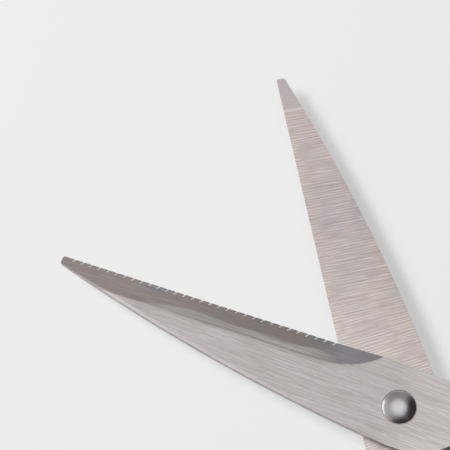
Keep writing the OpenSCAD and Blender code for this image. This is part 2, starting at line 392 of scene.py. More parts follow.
@dataclass(frozen=True)
class PlainFinish:
    """A finish without a direction: moulded plastic, soft grip, nylon or worn steel.

    Attributes:
        name: name of the material.
        dark: colour of the hollows of its grain.
        light: colour of the rest.
        roughness: lowest and highest roughness.
        grain: size of the grain in millimetres.
        depth: depth of the grain in millimetres.
        metallic: 1 for bare metal.
        coat: weight of a clear, glossy skin.
        specular: strength of the shader's reflection.
        sheen: weight of a soft bloom at grazing angles.
        clouds: slow changes of tone per millimetre.
        grain_share: share of the grain in the tone.
        tone: step that sharpens the tone.
        coat_roughness: roughness of the clear skin.
        sheen_roughness: roughness of the bloom.
    """

    name: str
    dark: Colour
    light: Colour
    roughness: Pair
    grain: float = 0.25
    depth: float = 0.01
    metallic: float = 0.0
    coat: float = 0.0
    specular: float = 0.5
    sheen: float = 0.0
    clouds: float = 0.11
    grain_share: float = 0.45
    tone: Step = Step(0.35, 0.65)
    coat_roughness: float = 0.25
    sheen_roughness: float = 0.5

    def build(self) -> bpy.types.Material:
        """Builds the material."""
        surface = Surface(self.name)
        graph = surface.graph
        x, y, z = surface.millimetres()
        place = graph.vector(x, y, z)
        grain = graph.noise(place, 1 / self.grain, detail=3.0, roughness=0.6)
        cloud = graph.noise(place, self.clouds, detail=3.0, roughness=0.55)
        worn = self.tone.at(grain * self.grain_share + cloud * (1 - self.grain_share))
        surface.set(base_color=graph.mix(worn, self.dark, self.light),
                    roughness=worn.ramp(0.0, 1.0, *self.roughness),
                    metallic=self.metallic, specular_ior_level=self.specular,
                    coat_weight=self.coat, coat_roughness=self.coat_roughness,
                    sheen_weight=self.sheen, sheen_roughness=self.sheen_roughness)
        surface.bump(grain, self.depth)
        return surface.material


@dataclass(frozen=True)
class TurnedFinish:
    """Steel turned on a lathe and polished: faint rings round the pivot.

    Attributes:
        name: name of the material.
        dark: colour of the rings' grooves.
        light: colour of the rest.
        roughness: lowest and highest roughness.
        pitch: distance between rings in millimetres.
        depth: depth of a ring in millimetres.
        clouds: changes of tone per millimetre.
        ring_share: share of the rings in the tone.
        tone: step that sharpens the tone.
    """

    name: str
    dark: Colour
    light: Colour
    roughness: Pair
    pitch: float = 0.12
    depth: float = 0.0015
    clouds: float = 0.6
    ring_share: float = 0.4
    tone: Step = Step(0.3, 0.7)

    def build(self) -> bpy.types.Material:
        """Builds the material."""
        surface = Surface(self.name)
        graph = surface.graph
        x, y, z = surface.millimetres()
        radius = (x * x + y * y).root()
        rings = graph.noise(graph.vector(radius / self.pitch, z / self.pitch, 0.0), 1.0, detail=1.0)
        cloud = graph.noise(graph.vector(x, y, z), self.clouds, detail=3.0)
        worn = self.tone.at(rings * self.ring_share + cloud * (1 - self.ring_share))
        surface.set(base_color=graph.mix(worn, self.dark, self.light),
                    roughness=worn.ramp(0.0, 1.0, *self.roughness), metallic=1.0)
        surface.bump(rings, self.depth)
        return surface.material


@dataclass(frozen=True)
class BrushedFace:
    """The outer face: satin, brushed along the blade in two passes.

    Attributes:
        dark: colour of the scratches.
        light: colour of the steel between them.
        fine: pattern of the fine pass.
        fine_lean: slope of the fine pass across the blade.
        fine_share: share of the fine pass in the relief.
        broad: pattern of the broad pass.
        broad_lean: slope of the broad pass across the blade.
        cloud: pattern of slow changes of tone.
        cloud_share: share of those in the tone.
        tone: step that sharpens the tone.
        nick: pattern of single scratches.
        bright_nick: how much the bright ones lighten the tone.
        dark_nick: how much the dark ones darken it.
        root: painted light: brightness round the pivot, where the steel mirrors the light overhead.
        tip: painted light: brightness towards the tip.
    """

    dark: Colour = (0.55, 0.513, 0.495)
    light: Colour = (0.82, 0.785, 0.768)
    fine: Grain = Grain(0.11, 4.4, 0.0, 3.0, 0.7)
    fine_lean: float = 0.06
    fine_share: float = 0.65
    broad: Grain = Grain(0.06, 2.3, 7.0, 3.0, 0.6)
    broad_lean: float = 0.02
    cloud: Grain = Grain(0.05, 0.12, 3.0, 1.0)
    cloud_share: float = 0.15
    tone: Step = Step(0.36, 0.64)
    nick: Grain = Grain(0.34, 6.0, 13.0, 1.0)
    bright_nick: Step = Step(0.60, 0.76, 0.0, 0.45)
    dark_nick: Step = Step(0.40, 0.26, 0.0, 0.30)
    root: Step = Step(6.0, -8.0, 1.03, 1.17)
    tip: Step = Step(62.0, 80.0, 1.0, 0.92)

    def build(self, graph: Graph, along: Term, across: Term) -> tuple[Term, Term]:
        """Colour and relief of the face at a place on the blade."""
        leaning = across + along * self.fine_lean
        fine = self.fine.at(graph, along, leaning)
        broad = self.broad.at(graph, along, across + along * self.broad_lean)
        cloud = self.cloud.at(graph, along, across)
        scratches = fine * self.fine_share + broad * (1 - self.fine_share)
        nick = self.nick.at(graph, along, leaning)
        tone = self.tone.at(scratches * (1 - self.cloud_share) + cloud * self.cloud_share)
        tone = tone + (self.bright_nick.at(nick) - self.dark_nick.at(nick))
        # Painted light: brighter round the pivot, dimmer towards the tip.
        level = self.root.at(along) * self.tip.at(along)
        return graph.scaled(graph.mix(tone, self.dark, self.light), level), scratches


@dataclass(frozen=True)
class PolishedBand:
    """The polished band of the hollow bevel, along the cutting edge; its dark colours are a painted
    reflection of the dark surroundings and its brightness steps are painted light.

    Attributes:
        warm: warmest colour of its painted reflection.
        cool: coolest colour of its painted reflection.
        width: width of the band, from the middle of the blade to the tip.
        pinch: what the width loses where the bevel starts to run out.
        fan: what it gains where the bevel has run out.
        softness: width over which the band fades out.
        fade: step of the fading, in shares of that width.
        wave: pattern of slow changes of the width.
        wave_depth: depth of those changes.
        fray: pattern of the frayed border.
        fray_depth: depth of the fraying.
        tint: pattern of cool patches.
        patches: how cool they are.
        cool_root: how much cooler the band gets towards the pivot.
        streak: pattern of streaks along the band.
        streaks: brightness of the streaks.
        level: painted light: brightness from the middle of the blade to the tip.
        root: painted light: what the brightness gains towards the pivot.
        far: painted light: brightness from the edge to the back of the band.
    """

    warm: Colour = (0.43, 0.378, 0.358)
    cool: Colour = (0.38, 0.37, 0.385)
    width: Step = Step(58.0, 77.0, 3.75, 6.6)
    pinch: Step = Step(29.0, 24.0, 0.0, -0.6)
    fan: Step = Step(21.5, 13.5, 0.0, 4.2)
    softness: Step = Step(26.0, 18.0, 1.0, 3.2)
    fade: Step = Step(0.42, -0.36)
    wave: Grain = Grain(0.06, 0.0, 11.0, 1.0)
    wave_depth: float = 0.5
    fray: Grain = Grain(0.10, 2.0, 2.0, 3.0)
    fray_depth: float = 1.3
    tint: Grain = Grain(0.09, 0.25, 5.0)
    patches: Step = Step(0.48, 0.66, 0.0, 0.7)
    cool_root: Step = Step(26.0, 17.0)
    streak: Grain = Grain(0.12, 2.2, 1.0)
    streaks: Step = Step(0.3, 0.7, 0.9, 1.1)
    level: Step = Step(30.0, 85.0, 0.92, 1.27)
    root: Step = Step(24.0, 15.0, 0.0, 0.26)
    far: Step = Step(0.0, 4.8, 0.90, 1.22)

    def build(self, graph: Graph, along: Term, across: Term, from_edge: Term) -> tuple[Term, Term]:
        """Colour of the band at a place on the blade, with its painted reflection and light, and how strongly
        it shows there.
        """
        width = self.width.at(along) + self.pinch.at(along) + self.fan.at(along)
        wave = (self.wave.at(graph, along, across) - 0.5) * self.wave_depth
        fray = (self.fray.at(graph, along, across) - 0.5) * self.fray_depth
        shown = self.fade.at((from_edge - width - wave - fray) / self.softness.at(along))
        cool = self.patches.at(self.tint.at(graph, along, across)) + self.cool_root.at(along)
        # The band's dark colours are a painted reflection of the dark surroundings.
        colour = graph.mix(cool.at_most(1.0), self.warm, self.cool)
        streaks = self.streaks.at(self.streak.at(graph, along, across))
        # Painted light: the band's brightness along the blade and from its edge.
        level = streaks * (self.level.at(along) + self.root.at(along)) * self.far.at(from_edge)
        return graph.scaled(colour, level), shown


@dataclass(frozen=True)
class GroundFace:
    """The inner face: fine lines ground across it, which fan out along the blade.

    Attributes:
        dark: colour of the lines' grooves.
        light: colour of their ridges.
        fan: slope of the lines along the blade.
        fan_middle: distance across from the pivot at which the slope turns the lines.
        fine: pattern of the finest lines.
        fine_lines: their strength.
        pitch: distance between the coarser, regular lines.
        drift: pattern by which those wander.
        drift_depth: how far they wander.
        comb: step from their wave to a line.
        strength: pattern of their strength.
        coarse_lines: that strength.
        cloud: pattern of slow changes of tone.
        patches: what those add to the tone.
        tip: where the lines give way to a plain tip.
        tip_lines: share of the lines that is lost there.
        border: where the bright border of the plain tip starts.
        line_tone: what the lines give to the tone.
        tip_tone: what the plain tip gives to it.
        border_tone: tone of the border.
        cool: cool tint, as factors.
        warm: warm tint, as factors.
        warm_patches: how the tint warms in patches.
        warm_root: how it warms towards the pivot.
        warm_front: how it warms towards the tip.
        root: painted light: brightness towards the pivot.
        front: painted light: what the brightness gains towards the tip.
        sides: painted light: brightness from the edge to the spine.
    """

    dark: Colour = (0.62, 0.545, 0.515)
    light: Colour = (1.0, 0.94, 0.91)
    fan: Step = Step(0.0, 42.0, -0.15, 0.035)
    fan_middle: float = -2.0
    fine: Grain = Grain(3.6, 0.12, 0.0, 2.0, 0.6)
    fine_lines: Step = Step(0.3, 0.7, 0.0, 0.52)
    pitch: float = 0.76
    drift: Grain = Grain(0.5, 0.05, 4.0, 1.0)
    drift_depth: float = 1.4
    comb: Step = Step(-0.1, 1.0)
    strength: Grain = Grain(0.30, 0.2, 6.0, 1.0)
    coarse_lines: Step = Step(0.30, 0.55, 0.0, 0.48)
    cloud: Grain = Grain(0.06, 0.12, 8.0)
    patches: Step = Step(0.35, 0.65, 0.0, 0.06)
    tip: Step = Step(84.9, 85.7)
    tip_lines: float = 0.8
    border: Step = Step(84.3, 84.8)
    line_tone: float = 0.85
    tip_tone: float = 0.20
    border_tone: float = 0.75
    cool: Colour = (0.975, 0.98, 1.03)
    warm: Colour = (1.05, 1.015, 0.975)
    warm_patches: Step = Step(0.38, 0.62, 0.0, 0.6)
    warm_root: Step = Step(55.0, 20.0, 0.0, 0.4)
    warm_front: Step = Step(55.0, 70.0, 0.0, 0.4)
    root: Step = Step(50.0, 5.0, 0.98, 1.15)
    front: Step = Step(58.0, 70.0, 0.0, 0.07)
    sides: Step = Step(-6.0, 9.0, 1.035, 0.93)

    def build(self, graph: Graph, along: Term, across: Term) -> tuple[Term, Term]:
        """Colour and relief of the face at a place on the blade."""
        line = along + (across - self.fan_middle) * self.fan.at(along)
        tip = self.tip.at(line)
        border = self.border.at(line) * (1 - tip) * self.border_tone
        drift = self.drift.at(graph, line, across) * self.drift_depth
        wave = (line + drift) * (2 * math.pi / self.pitch)
        strength = self.coarse_lines.at(self.strength.at(graph, line, across))
        coarse = self.comb.at(wave.math("SINE")) * strength
        fine = self.fine_lines.at(self.fine.at(graph, line, across))
        lines = (fine + coarse) * (1 - tip * self.tip_lines)
        cloud = self.cloud.at(graph, along, across)
        tone = lines * self.line_tone + self.patches.at(cloud) + tip * self.tip_tone
        colour = graph.mix(tone.at_least(border), self.dark, self.light)
        warm = self.warm_patches.at(cloud) + self.warm_root.at(along) + self.warm_front.at(along)
        tint = graph.mix((warm * (1 - tip)).at_most(1.0), self.cool, self.warm)
        # Painted light: brighter towards the pivot and the tip, darker towards the spine.
        level = (self.root.at(along) + self.front.at(along)) * self.sides.at(across)
        tinted = graph.add("ShaderNodeVectorMath", {"operation": "MULTIPLY"}, {0: colour, 1: tint})
        return graph.scaled(tinted, level), lines


@dataclass(frozen=True)
class BladeFinish:
    """Ground blade steel, different on its outer face, its hollow bevel and its inner face.

    Attributes:
        name: name of the material.
        half: the half whose blade it is for.
        outer: the outer face.
        band: the polished band of the bevel, with its painted reflection.
        inner: the inner face.
        strip_dark: darkest colour of the rest of the bevel.
        strip_light: lightest colour of the rest of the bevel.
        strand: pattern of the rest of the bevel.
        strands: step that sharpens that pattern.
        strip_end: how the band's colour takes over the rest where the bevel runs out.
        hollow: depths under the outer face over which the bevel begins.
        crease_shade: colour of the painted shade along the line where the bevel ends.
        crease_depths: depths between which that painted shade lies, each a step.
        crease_ends: where along the blade it fades in and out.
        crease_shade_strength: its strength.
        spine_highlight: colour of the painted highlight along the spine's rounded edge.
        spine_highlight_width: where it ends, from the spine.
        spine_highlight_start: where it starts, from the spine.
        spine_highlight_root: where along the blade it fades in.
        spine_highlight_strength: its strength from the middle of the blade to the tip.
        narrowing: how much nearer the spine the tip's surfaces reach.
        band_limit: distance from the spine within which the band ends.
        wall: colour of the painted shade on the sides of the steel.
        steep: slopes between which a surface counts as a side.
        side_shade_strength: strength of that painted shade.
        roughness: of the faces.
        polish: what the bevel and its band each take off the roughness.
        scratch_roughness: what a scratch adds to the roughness.
        relief: depth of the relief in millimetres.
        line_relief: how much deeper the inner face's lines are.
        band_relief: share of the scratches that the band has lost.
        face_slack: height above the inner face that still belongs to it.
    """

    name: str
    half: Half
    outer: BrushedFace = BrushedFace()
    band: PolishedBand = PolishedBand()
    inner: GroundFace = GroundFace()
    strip_dark: Colour = (0.64, 0.615, 0.60)
    strip_light: Colour = (0.90, 0.87, 0.84)
    strand: Grain = Grain(0.05, 3.6, 9.0)
    strands: Step = Step(0.36, 0.64)
    strip_end: Step = Step(27.0, 17.0, 0.0, 0.62)
    hollow: Step = Step(0.004, 0.03)
    crease_shade: Colour = (0.34, 0.33, 0.315)
    crease_depths: tuple[Step, Step] = (Step(0.0, 0.06), Step(0.24, 0.09))
    crease_ends: tuple[Step, Step] = (Step(20.0, 30.0), Step(66.0, 50.0))
    crease_shade_strength: float = 0.45
    spine_highlight: Colour = (1.0, 0.965, 0.95)
    spine_highlight_width: Step = Step(1.15, 0.85)
    spine_highlight_start: Step = Step(0.15, 0.30)
    spine_highlight_root: Step = Step(18.0, 40.0)
    spine_highlight_strength: Step = Step(55.0, 80.0, 0.375, 0.75)
    narrowing: Step = Step(74.0, 94.0, 0.0, 0.85)
    band_limit: Step = Step(0.95, 1.25)
    wall: Colour = (0.30, 0.285, 0.275)
    steep: Step = Step(0.85, 0.45)
    side_shade_strength: float = 0.7
    roughness: float = 0.40
    polish: float = 0.06
    scratch_roughness: float = 0.06
    relief: float = 0.004
    line_relief: float = 1.3
    band_relief: float = 0.85
    face_slack: float = 0.03

    def build(self, shape: "Blade") -> bpy.types.Material:
        """Builds the material.

        Args:
            shape: the blade that it covers, for the place of its bevel.

        Returns:
            The material.
        """
        surface = Surface(self.name)
        graph = surface.graph
        x, y, z = surface.millimetres()
        y, z = y * self.half.side, (z - PARTING_Z) * self.half.side
        turn = math.radians(shape.open_turn)
        along = x * math.cos(turn) + y * math.sin(turn)
        across = y * math.cos(turn) - x * math.sin(turn)
        from_edge, from_spine = across + shape.edge_offset, self._from_spine(shape, along, across)
        inner, depth = z.below(shape.inner_z + self.face_slack), shape.outer_z - z
        hollow = self.hollow.at(depth)

        body, scratches = self.outer.build(graph, along, across)
        band, shown = self.band.build(graph, along, across, from_edge)
        ground, lines = self.inner.build(graph, along, across)
        inside = from_spine + self.narrowing.at(along)
        polished = hollow * shown * self.band_limit.at(inside)
        strip = self._strip(graph, along, across, body, band, depth)
        outer = graph.mix(polished, strip, band)
        # Painted highlight along the spine's rounded edge.
        spine_highlight = self.spine_highlight_width.at(inside) * self.spine_highlight_start.at(from_spine) * self.spine_highlight_root.at(along)
        outer = graph.mix(spine_highlight * self.spine_highlight_strength.at(along), outer, self.spine_highlight)
        # Painted shade on the sides of the steel.
        outer = graph.mix(self._side(graph) * self.side_shade_strength, outer, self.wall)
        smooth = self.roughness - hollow * self.polish - polished * self.polish
        surface.set(
            base_color=graph.mix(inner, outer, ground), metallic=1.0,
            roughness=inner * self.roughness + (1 - inner) * smooth + scratches * self.scratch_roughness)
        scratches = scratches * (1 - polished * self.band_relief)
        surface.bump(inner * lines * self.line_relief + (1 - inner) * scratches, self.relief)
        return surface.material

    @staticmethod
    def _from_spine(shape: "Blade", along: Term, across: Term) -> Term:
        """Distance of a place on the blade from its spine, measured across the blade."""
        ahead = along.at_least(0.0)
        bend = (shape.spine_radius ** 2 - ahead * ahead).root() - shape.spine_radius
        return bend + shape.spine_offset - ahead * math.tan(math.radians(shape.spine_slope)) - across

    def _strip(self, graph: Graph, along: Term, across: Term, body: Term, band: Term, depth: Term) -> Term:
        """Colour of the outer face and of the part of the bevel beside the band.

        Args:
            graph: the material's tree.
            along: place along the blade.
            across: place across the blade.
            body: colour of the outer face.
            band: colour of the polished band.
            depth: depth under the outer face.

        Returns:
            The colour.
        """
        hollow = self.hollow.at(depth)
        strands = self.strands.at(self.strand.at(graph, along, across))
        strip = graph.mix(hollow, body, graph.mix(strands, self.strip_dark, self.strip_light))
        strip = graph.mix(hollow * self.strip_end.at(along), strip, band)
        # Painted shade along the line where the bevel ends.
        crease_shade = self.crease_depths[0].at(depth) * self.crease_depths[1].at(depth)
        crease_shade = crease_shade * self.crease_ends[0].at(along) * self.crease_ends[1].at(along)
        return graph.mix(crease_shade * self.crease_shade_strength, strip, self.crease_shade)

    def _side(self, graph: Graph) -> Term:
        """1 on the sides of the steel, 0 on its faces."""
        normal = graph.add("ShaderNodeNewGeometry").out("Normal")
        return self.steep.at(abs(graph.add("ShaderNodeSeparateXYZ", None, {0: normal}).out("Z")))


RIVET_STEEL = TurnedFinish("rivet_steel", (0.68, 0.66, 0.67), (0.78, 0.76, 0.77), (0.16, 0.22))
WASHER_STEEL = TurnedFinish("washer_steel", (0.42, 0.41, 0.40), (0.60, 0.59, 0.58), (0.28, 0.40),
                            pitch=0.2, depth=0.004)
CUT_STEEL = PlainFinish("notch_steel", (0.30, 0.30, 0.30), (0.40, 0.40, 0.40), (0.55, 0.75),
                        grain=0.1, depth=0.002, metallic=0.1)
NYLON = PlainFinish("nylon", (0.72, 0.70, 0.64), (0.84, 0.83, 0.79), (0.40, 0.55), grain=0.3, depth=0.004)
HANDLE_PLASTIC = PlainFinish("handle_plastic", (0.020, 0.018, 0.022), (0.034, 0.031, 0.037), (0.30, 0.42),
                             grain=0.22, depth=0.012, coat=0.15)
GRIP_RUBBER = PlainFinish("grip_rubber", (0.058, 0.055, 0.062), (0.088, 0.084, 0.093), (0.62, 0.78),
                          grain=0.16, depth=0.02, specular=0.35, sheen=0.25)


# --------------------------------------------------------------------------- shapes


PIVOT = frame["joints"][0]
PARTING_Z = PIVOT["pos_m"][2] / MM
RUNNING_CLEARANCE = 0.03


def add_piece(name: str, mesh: bpy.types.Mesh, body: str, slot: str, *nodes: str,
              sharp: float = 35.0) -> bpy.types.Object:
    """Turns a finished mesh in the row frame into a piece.

    Args:
        name: name of the piece.
        mesh: its mesh, in metres, already in its place and with its material.
        body: body that it rides on.
        slot: name of the record's material slot; not used.
        nodes: construction nodes that it stands for.
        sharp: angle in degrees above which an edge stays sharp.

    Returns:
        The piece's object.
    """
    mesh.name = name
    mesh.shade_smooth()
    mesh.set_sharp_from_angle(angle=math.radians(sharp))
    piece = bpy.data.objects.new(name, mesh)
    bpy.context.scene.collection.objects.link(piece)
    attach(piece, body)
    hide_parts(*nodes)
    log.info("%s: %d faces, rides on %s", name, len(mesh.polygons), body)
    return piece


def new_mesh(name: str, points: Sequence[Sequence[float]], faces: Sequence[Sequence[int]],
             material: Optional[bpy.types.Material] = None) -> bpy.types.Mesh:
    """A mesh with one material.

    Args:
        name: name of the mesh.
        points: its vertices.
        faces: its faces, as numbers of vertices.
        material: its material, if it already has one.

    Returns:
        The mesh.
    """
    mesh = bpy.data.meshes.new(name)
    mesh.from_pydata([tuple(p) for p in points], [], faces)
    if material is not None:
        mesh.materials.append(material)
    mesh.validate()
    return mesh


def loft(rings: Sequence[Sequence[Sequence[float]]]) -> tuple[list, list]:
    """Joins closed rings of equally many points into a closed solid.

    Args:
        rings: the rings, each a list of points.

    Returns:
        The solid's points and faces.
    """
    size = len(rings[0])
    points = [p for ring in rings for p in ring]
    faces = []
    for r in range(len(rings) - 1):
        for i in range(size):
            j = (i + 1) % size
            faces.append((r * size + i, r * size + j, (r + 1) * size + j, (r + 1) * size + i))
    faces.append(tuple(range(size))[::-1])
    faces.append(tuple(range((len(rings) - 1) * size, len(rings) * size)))
    return points, faces


def arc(centre: Pair, radius: float, start: float, end: float, steps: int) -> list[Pair]:
    """Points along an arc, its angles in degrees."""
    turns = [math.radians(start + (end - start) * i / steps) for i in range(steps + 1)]
    return [(centre[0] + radius * math.cos(t), centre[1] + radius * math.sin(t)) for t in turns]


@dataclass
class Blade:
    """A blade with its tang; sizes in millimetres.

    Attributes:
        half: the half that it belongs to.
        length: from the pivot to the tip.
        thickness: of the steel.
        inner_z: height of the inner face above the parting plane.
        edge_offset: from the pivot to the line of the cutting edge.
        spine_offset: from the pivot to the spine.
        spine_slope: slope of the spine ahead of the pivot, in degrees.
        tip_width: width of the blunt tip.
        tip_radius: rounding of the tip's corners.
        tip_trim: steel that finishing takes off the end of the tip.
        bevel_width: width of the hollow bevel.
        edge_thickness: steel left at the edge.
        wheel_radius: radius of the wheel that hollows the bevel.
        bevel_start: from the pivot to the near end of the bevel.
        bevel_runout: length over which the bevel runs out.
        tang_width: width of the tang inside the handle.
        tang_reach: length of the tang behind the pivot.
        stem_start: distance behind the pivot at which the handle's stem starts.
        stem_middle: middle of the stem, outwards from the middle line when shut.
        shoulder: distance behind the pivot of the shoulder at the end of the spine.
        tang_bend: distance behind the pivot at which the tang's outer side bends.
        edge_lead: from the start of the bevel back to the end of the full edge.
        bore: radius of the pivot hole.
        tang_hole: radius of the hole in the tang.
        rounding: softening of the spine's edges.
        land: flat left at the cutting edge.
        spacing: distance between sections, half as much where the bevel runs out.
        notches: number of notches along the edge.
        notch_pitch: distance between notches.
        notch_from_tip: from the tip to the first notch.
        notch_radius: radius of the round tool that cuts them.
        notch_depth: how far it sinks into the edge.
        notch_reach: length of the tool.
        notch_tilt: how much more steeply than the bevel it cuts, in degrees.
        notch_lean: how far it leans along the blade, in degrees.
    """

    half: Half
    length: float = 95.0
    thickness: float = 2.0
    inner_z: float = 0.1
    edge_offset: float = 10.75
    spine_offset: float = 10.0
    spine_slope: float = 5.75
    tip_width: float = 2.2
    tip_radius: float = 0.5
    tip_trim: float = 0.0
    bevel_width: float = 5.9
    edge_thickness: float = 0.6
    wheel_radius: float = 45.0
    bevel_start: float = 7.2
    bevel_runout: float = 15.5
    tang_width: float = 8.0
    tang_reach: float = 42.0
    tang_offset: float = 9.9
    stem_start: float = 24.5
    stem_middle: float = 7.1
    shoulder: float = 12.5
    tang_bend: float = 12.0
    edge_lead: float = 1.0
    bore: float = 2.5
    tang_hole: float = 2.0
    rounding: float = 0.22
    land: float = 0.05
    spacing: float = 0.7
    notches: int = 0
    notch_pitch: float = 2.38
    notch_from_tip: float = 3.7
    notch_radius: float = 0.38
    notch_depth: float = 0.32
    notch_reach: float = 3.0
    notch_tilt: float = 22.0
    notch_lean: float = 30.0

    @property
    def shut_turn(self) -> float:
        """Turn of a half from the middle line when shut, in degrees."""
        return math.degrees(math.atan((self.edge_offset - self.tip_width / 2) / self.length))

    @property
    def open_turn(self) -> float:
        """Turn of a half from the middle line as the scissors lie open, in degrees."""
        return self.shut_turn - PIVOT["range_deg"][0] / 2

    @property
    def spine_radius(self) -> float:
        """Radius of the arc of the spine, which ends at the tip."""
        drop = (self.spine_offset + self.edge_offset - self.tip_width
                - self.length * math.tan(math.radians(self.spine_slope)))
        return (self.length ** 2 + drop ** 2) / (2 * drop)

    @property
    def outer_z(self) -> float:
        """Height of the outer face above the parting plane."""
        return self.inner_z + self.thickness

    def place(self, turn: float) -> Matrix:
        """Matrix that puts a mesh in its place: from millimetres in a frame turned by an angle
        from the middle line to metres in the row frame."""
        flip = Matrix.Rotation(0.0 if self.half is Half.UPPER else math.pi, 4, "X")
        return (Matrix.Translation((0, 0, PARTING_Z * MM)) @ flip
                @ Matrix.Rotation(math.radians(turn), 4, "Z") @ Matrix.Scale(MM, 4))

    def shut_point(self, back: float, out: float) -> Pair:
        """Point a distance behind the pivot and outwards from the middle line when shut."""
        turn = math.radians(self.shut_turn)
        return (-back * math.cos(turn) - out * math.sin(turn), back * math.sin(turn) - out * math.cos(turn))

    def _spine(self, s: float) -> float:
        """Height of the spine ahead of the pivot."""
        bend = math.sqrt(self.spine_radius ** 2 - s ** 2) - self.spine_radius
        return self.spine_offset - s * math.tan(math.radians(self.spine_slope)) + bend

    def sides(self, s: float) -> Pair:
        """Both sides of the outline at a distance ahead of the pivot, the edge's first."""
        inner, outer = self.stem_middle - self.tang_width / 2, self.stem_middle + self.tang_width / 2
        outer_side = [self.shut_point(self.tang_reach, outer), self.shut_point(self.stem_start, outer),
                      (-self.tang_bend, -self.tang_offset), (0.0, -(self.tang_offset + self.edge_offset) / 2),
                      (self.bevel_start - self.edge_lead, -self.edge_offset)]
        inner_side = [self.shut_point(self.tang_reach, inner), self.shut_point(self.stem_start, inner),
                      (-self.shoulder, self.spine_offset), (1.0, self.spine_offset)]
        low = self._along(s, outer_side, ease=2.0)
        high = self._spine(s) if s > 0 else self._along(s, inner_side, ease=3.0)
        past_corner = s - (self.length - self.tip_trim - self.tip_radius)
        if past_corner > 0:
            cut = self.tip_radius - math.sqrt(max(self.tip_radius ** 2 - past_corner ** 2, 0))
            low, high = low + cut, high - cut
        return low, high

    @staticmethod
    def _along(s: float, line: Sequence[Pair], ease: float) -> float:
        """Height at s of a line through points in order of s, with its corners eased over a length."""
        def height(at: float) -> float:
            """Height of the line itself."""
            if at <= line[0][0]:
                return line[0][1]
            for (x0, y0), (x1, y1) in zip(line, line[1:]):
                if at <= x1:
                    return y0 + (y1 - y0) * (at - x0) / (x1 - x0)
            return line[-1][1]
        steps = 8
        return sum(height(s + ease * (i / steps - 0.5)) for i in range(steps + 1)) / (steps + 1)

    def _wheel(self, s: float) -> tuple[float, float, float]:
        """Section of the grinding wheel at a station: its middle across and above, and its radius."""
        rise = self.edge_thickness - self.thickness
        tilt = math.atan(rise / self.bevel_width)
        chord = math.hypot(self.bevel_width, rise)
        sink = math.sqrt(self.wheel_radius ** 2 - chord ** 2 / 4)
        across = -self.edge_offset + self.bevel_width / 2 + sink * math.sin(tilt)
        above = self.inner_z + (self.edge_thickness + self.thickness) / 2 + sink * math.cos(tilt)
        rounding = (self.bevel_runout ** 2 + rise ** 2) / (2 * -rise)
        short = max(self.bevel_start + self.bevel_runout - s, 0.0)
        radius = self.wheel_radius - rounding + math.sqrt(max(rounding ** 2 - short ** 2, 0.0))
        return across, above, radius

    def _section(self, s: float) -> list[tuple[float, float, float]]:
        """Closed section of the blade at a station, as points round it."""
        low, high = self.sides(s)
        across, above, radius = self._wheel(s)

        def top(o: float) -> float:
            """Height of the outer face or the bevel at a distance across."""
            reach = radius ** 2 - (o - across) ** 2
            return min(self.outer_z, above - math.sqrt(reach)) if reach > 0 else self.outer_z

        end = across + math.sqrt(max(radius ** 2 - (above - self.outer_z) ** 2, 0.0))
        soft = min(self.rounding, (high - low) / 4)
        far = high - soft
        least = 0.02
        end = min(max(end, low + least), far - least)
        land = self.land
        outline = [(low + land, self.inner_z), (low, self.inner_z + land)]
        bevel_steps, flat_steps, inner_steps = 14, 10, 8
        bevel = [low + (end - low) * i / bevel_steps for i in range(bevel_steps + 1)]
        flat = [end + (far - end) * i / flat_steps for i in range(1, flat_steps)]
        outline += [(o, top(o)) for o in [*bevel, *flat]]
        crown = top(far)
        soft_z = min(soft, crown - self.inner_z - 2 * land)
        outline += [(far + soft * math.sin(t), crown - soft_z * (1 - math.cos(t)))
                    for t in (math.radians(a) for a in (0, 22, 45, 68, 90))]
        outline += [(high, self.inner_z + land), (high - land, self.inner_z)]
        outline += [(high - land + (low - high + 2 * land) * i / inner_steps, self.inner_z)
                    for i in range(1, inner_steps)]
        return [(s, o, z) for o, z in outline]

    def _stations(self) -> list[float]:
        """Stations along the blade, close together where its section changes fast."""
        end = self.length - self.tip_trim
        stations = [end - self.tip_radius * (1 - math.sin(math.radians(a))) for a in range(90, 0, -15)]
        s = end - self.tip_radius
        while s > self.shut_point(self.tang_reach, self.stem_middle - self.tang_width / 2)[0]:
            stations.append(s)
            near_runout = self.bevel_start - 2 < s < self.bevel_start + self.bevel_runout + 1
            s -= self.spacing / 2 if near_runout else self.spacing
        return stations

    def build(self, steel: bpy.types.Material, cut: bpy.types.Material) -> bpy.types.Mesh:
        """Builds the blade.

        Args:
            steel: material of the blade.
            cut: material of the freshly cut notches.

        Returns:
            Its mesh in the row frame.
        """
        points, faces = loft([self._section(s) for s in self._stations()])
        blank = new_mesh("blank", points, faces, steel)
        hole = self.shut_point((self.stem_start + self.tang_reach) / 2, self.stem_middle)
        slope = math.atan((self.thickness - self.edge_thickness) / self.bevel_width) / 2
        tool_z = self.inner_z + self.edge_thickness + self.notch_radius - self.notch_depth
        steep = slope + math.radians(self.notch_tilt) - math.pi / 2
        clearance = RUNNING_CLEARANCE if self.half is Half.UPPER else 0.0
        graph = ShapeGraph("pierced_and_notched", {
            "Notches": self.notches, "Pitch": -self.notch_pitch, "Notch radius": self.notch_radius,
            "Notch length": self.notch_reach,
            "First notch": Vector((self.length - self.notch_from_tip, -self.edge_offset, tool_z)),
            "Lean": Vector((steep, 0.0, -math.radians(self.notch_lean))),
            "Bore": Vector((0.0, 0.0, 0.0)), "Bore radius": self.bore + clearance,
            "Tang hole": Vector((*hole, 0.0)), "Tang hole radius": self.tang_hole,
            "Drill length": 6 * self.thickness, "Steel": steel, "Cut": cut})
        self._pierce(graph)
        mesh = graph.bake(blank)
        mesh.transform(self.place(self.open_turn))
        return mesh

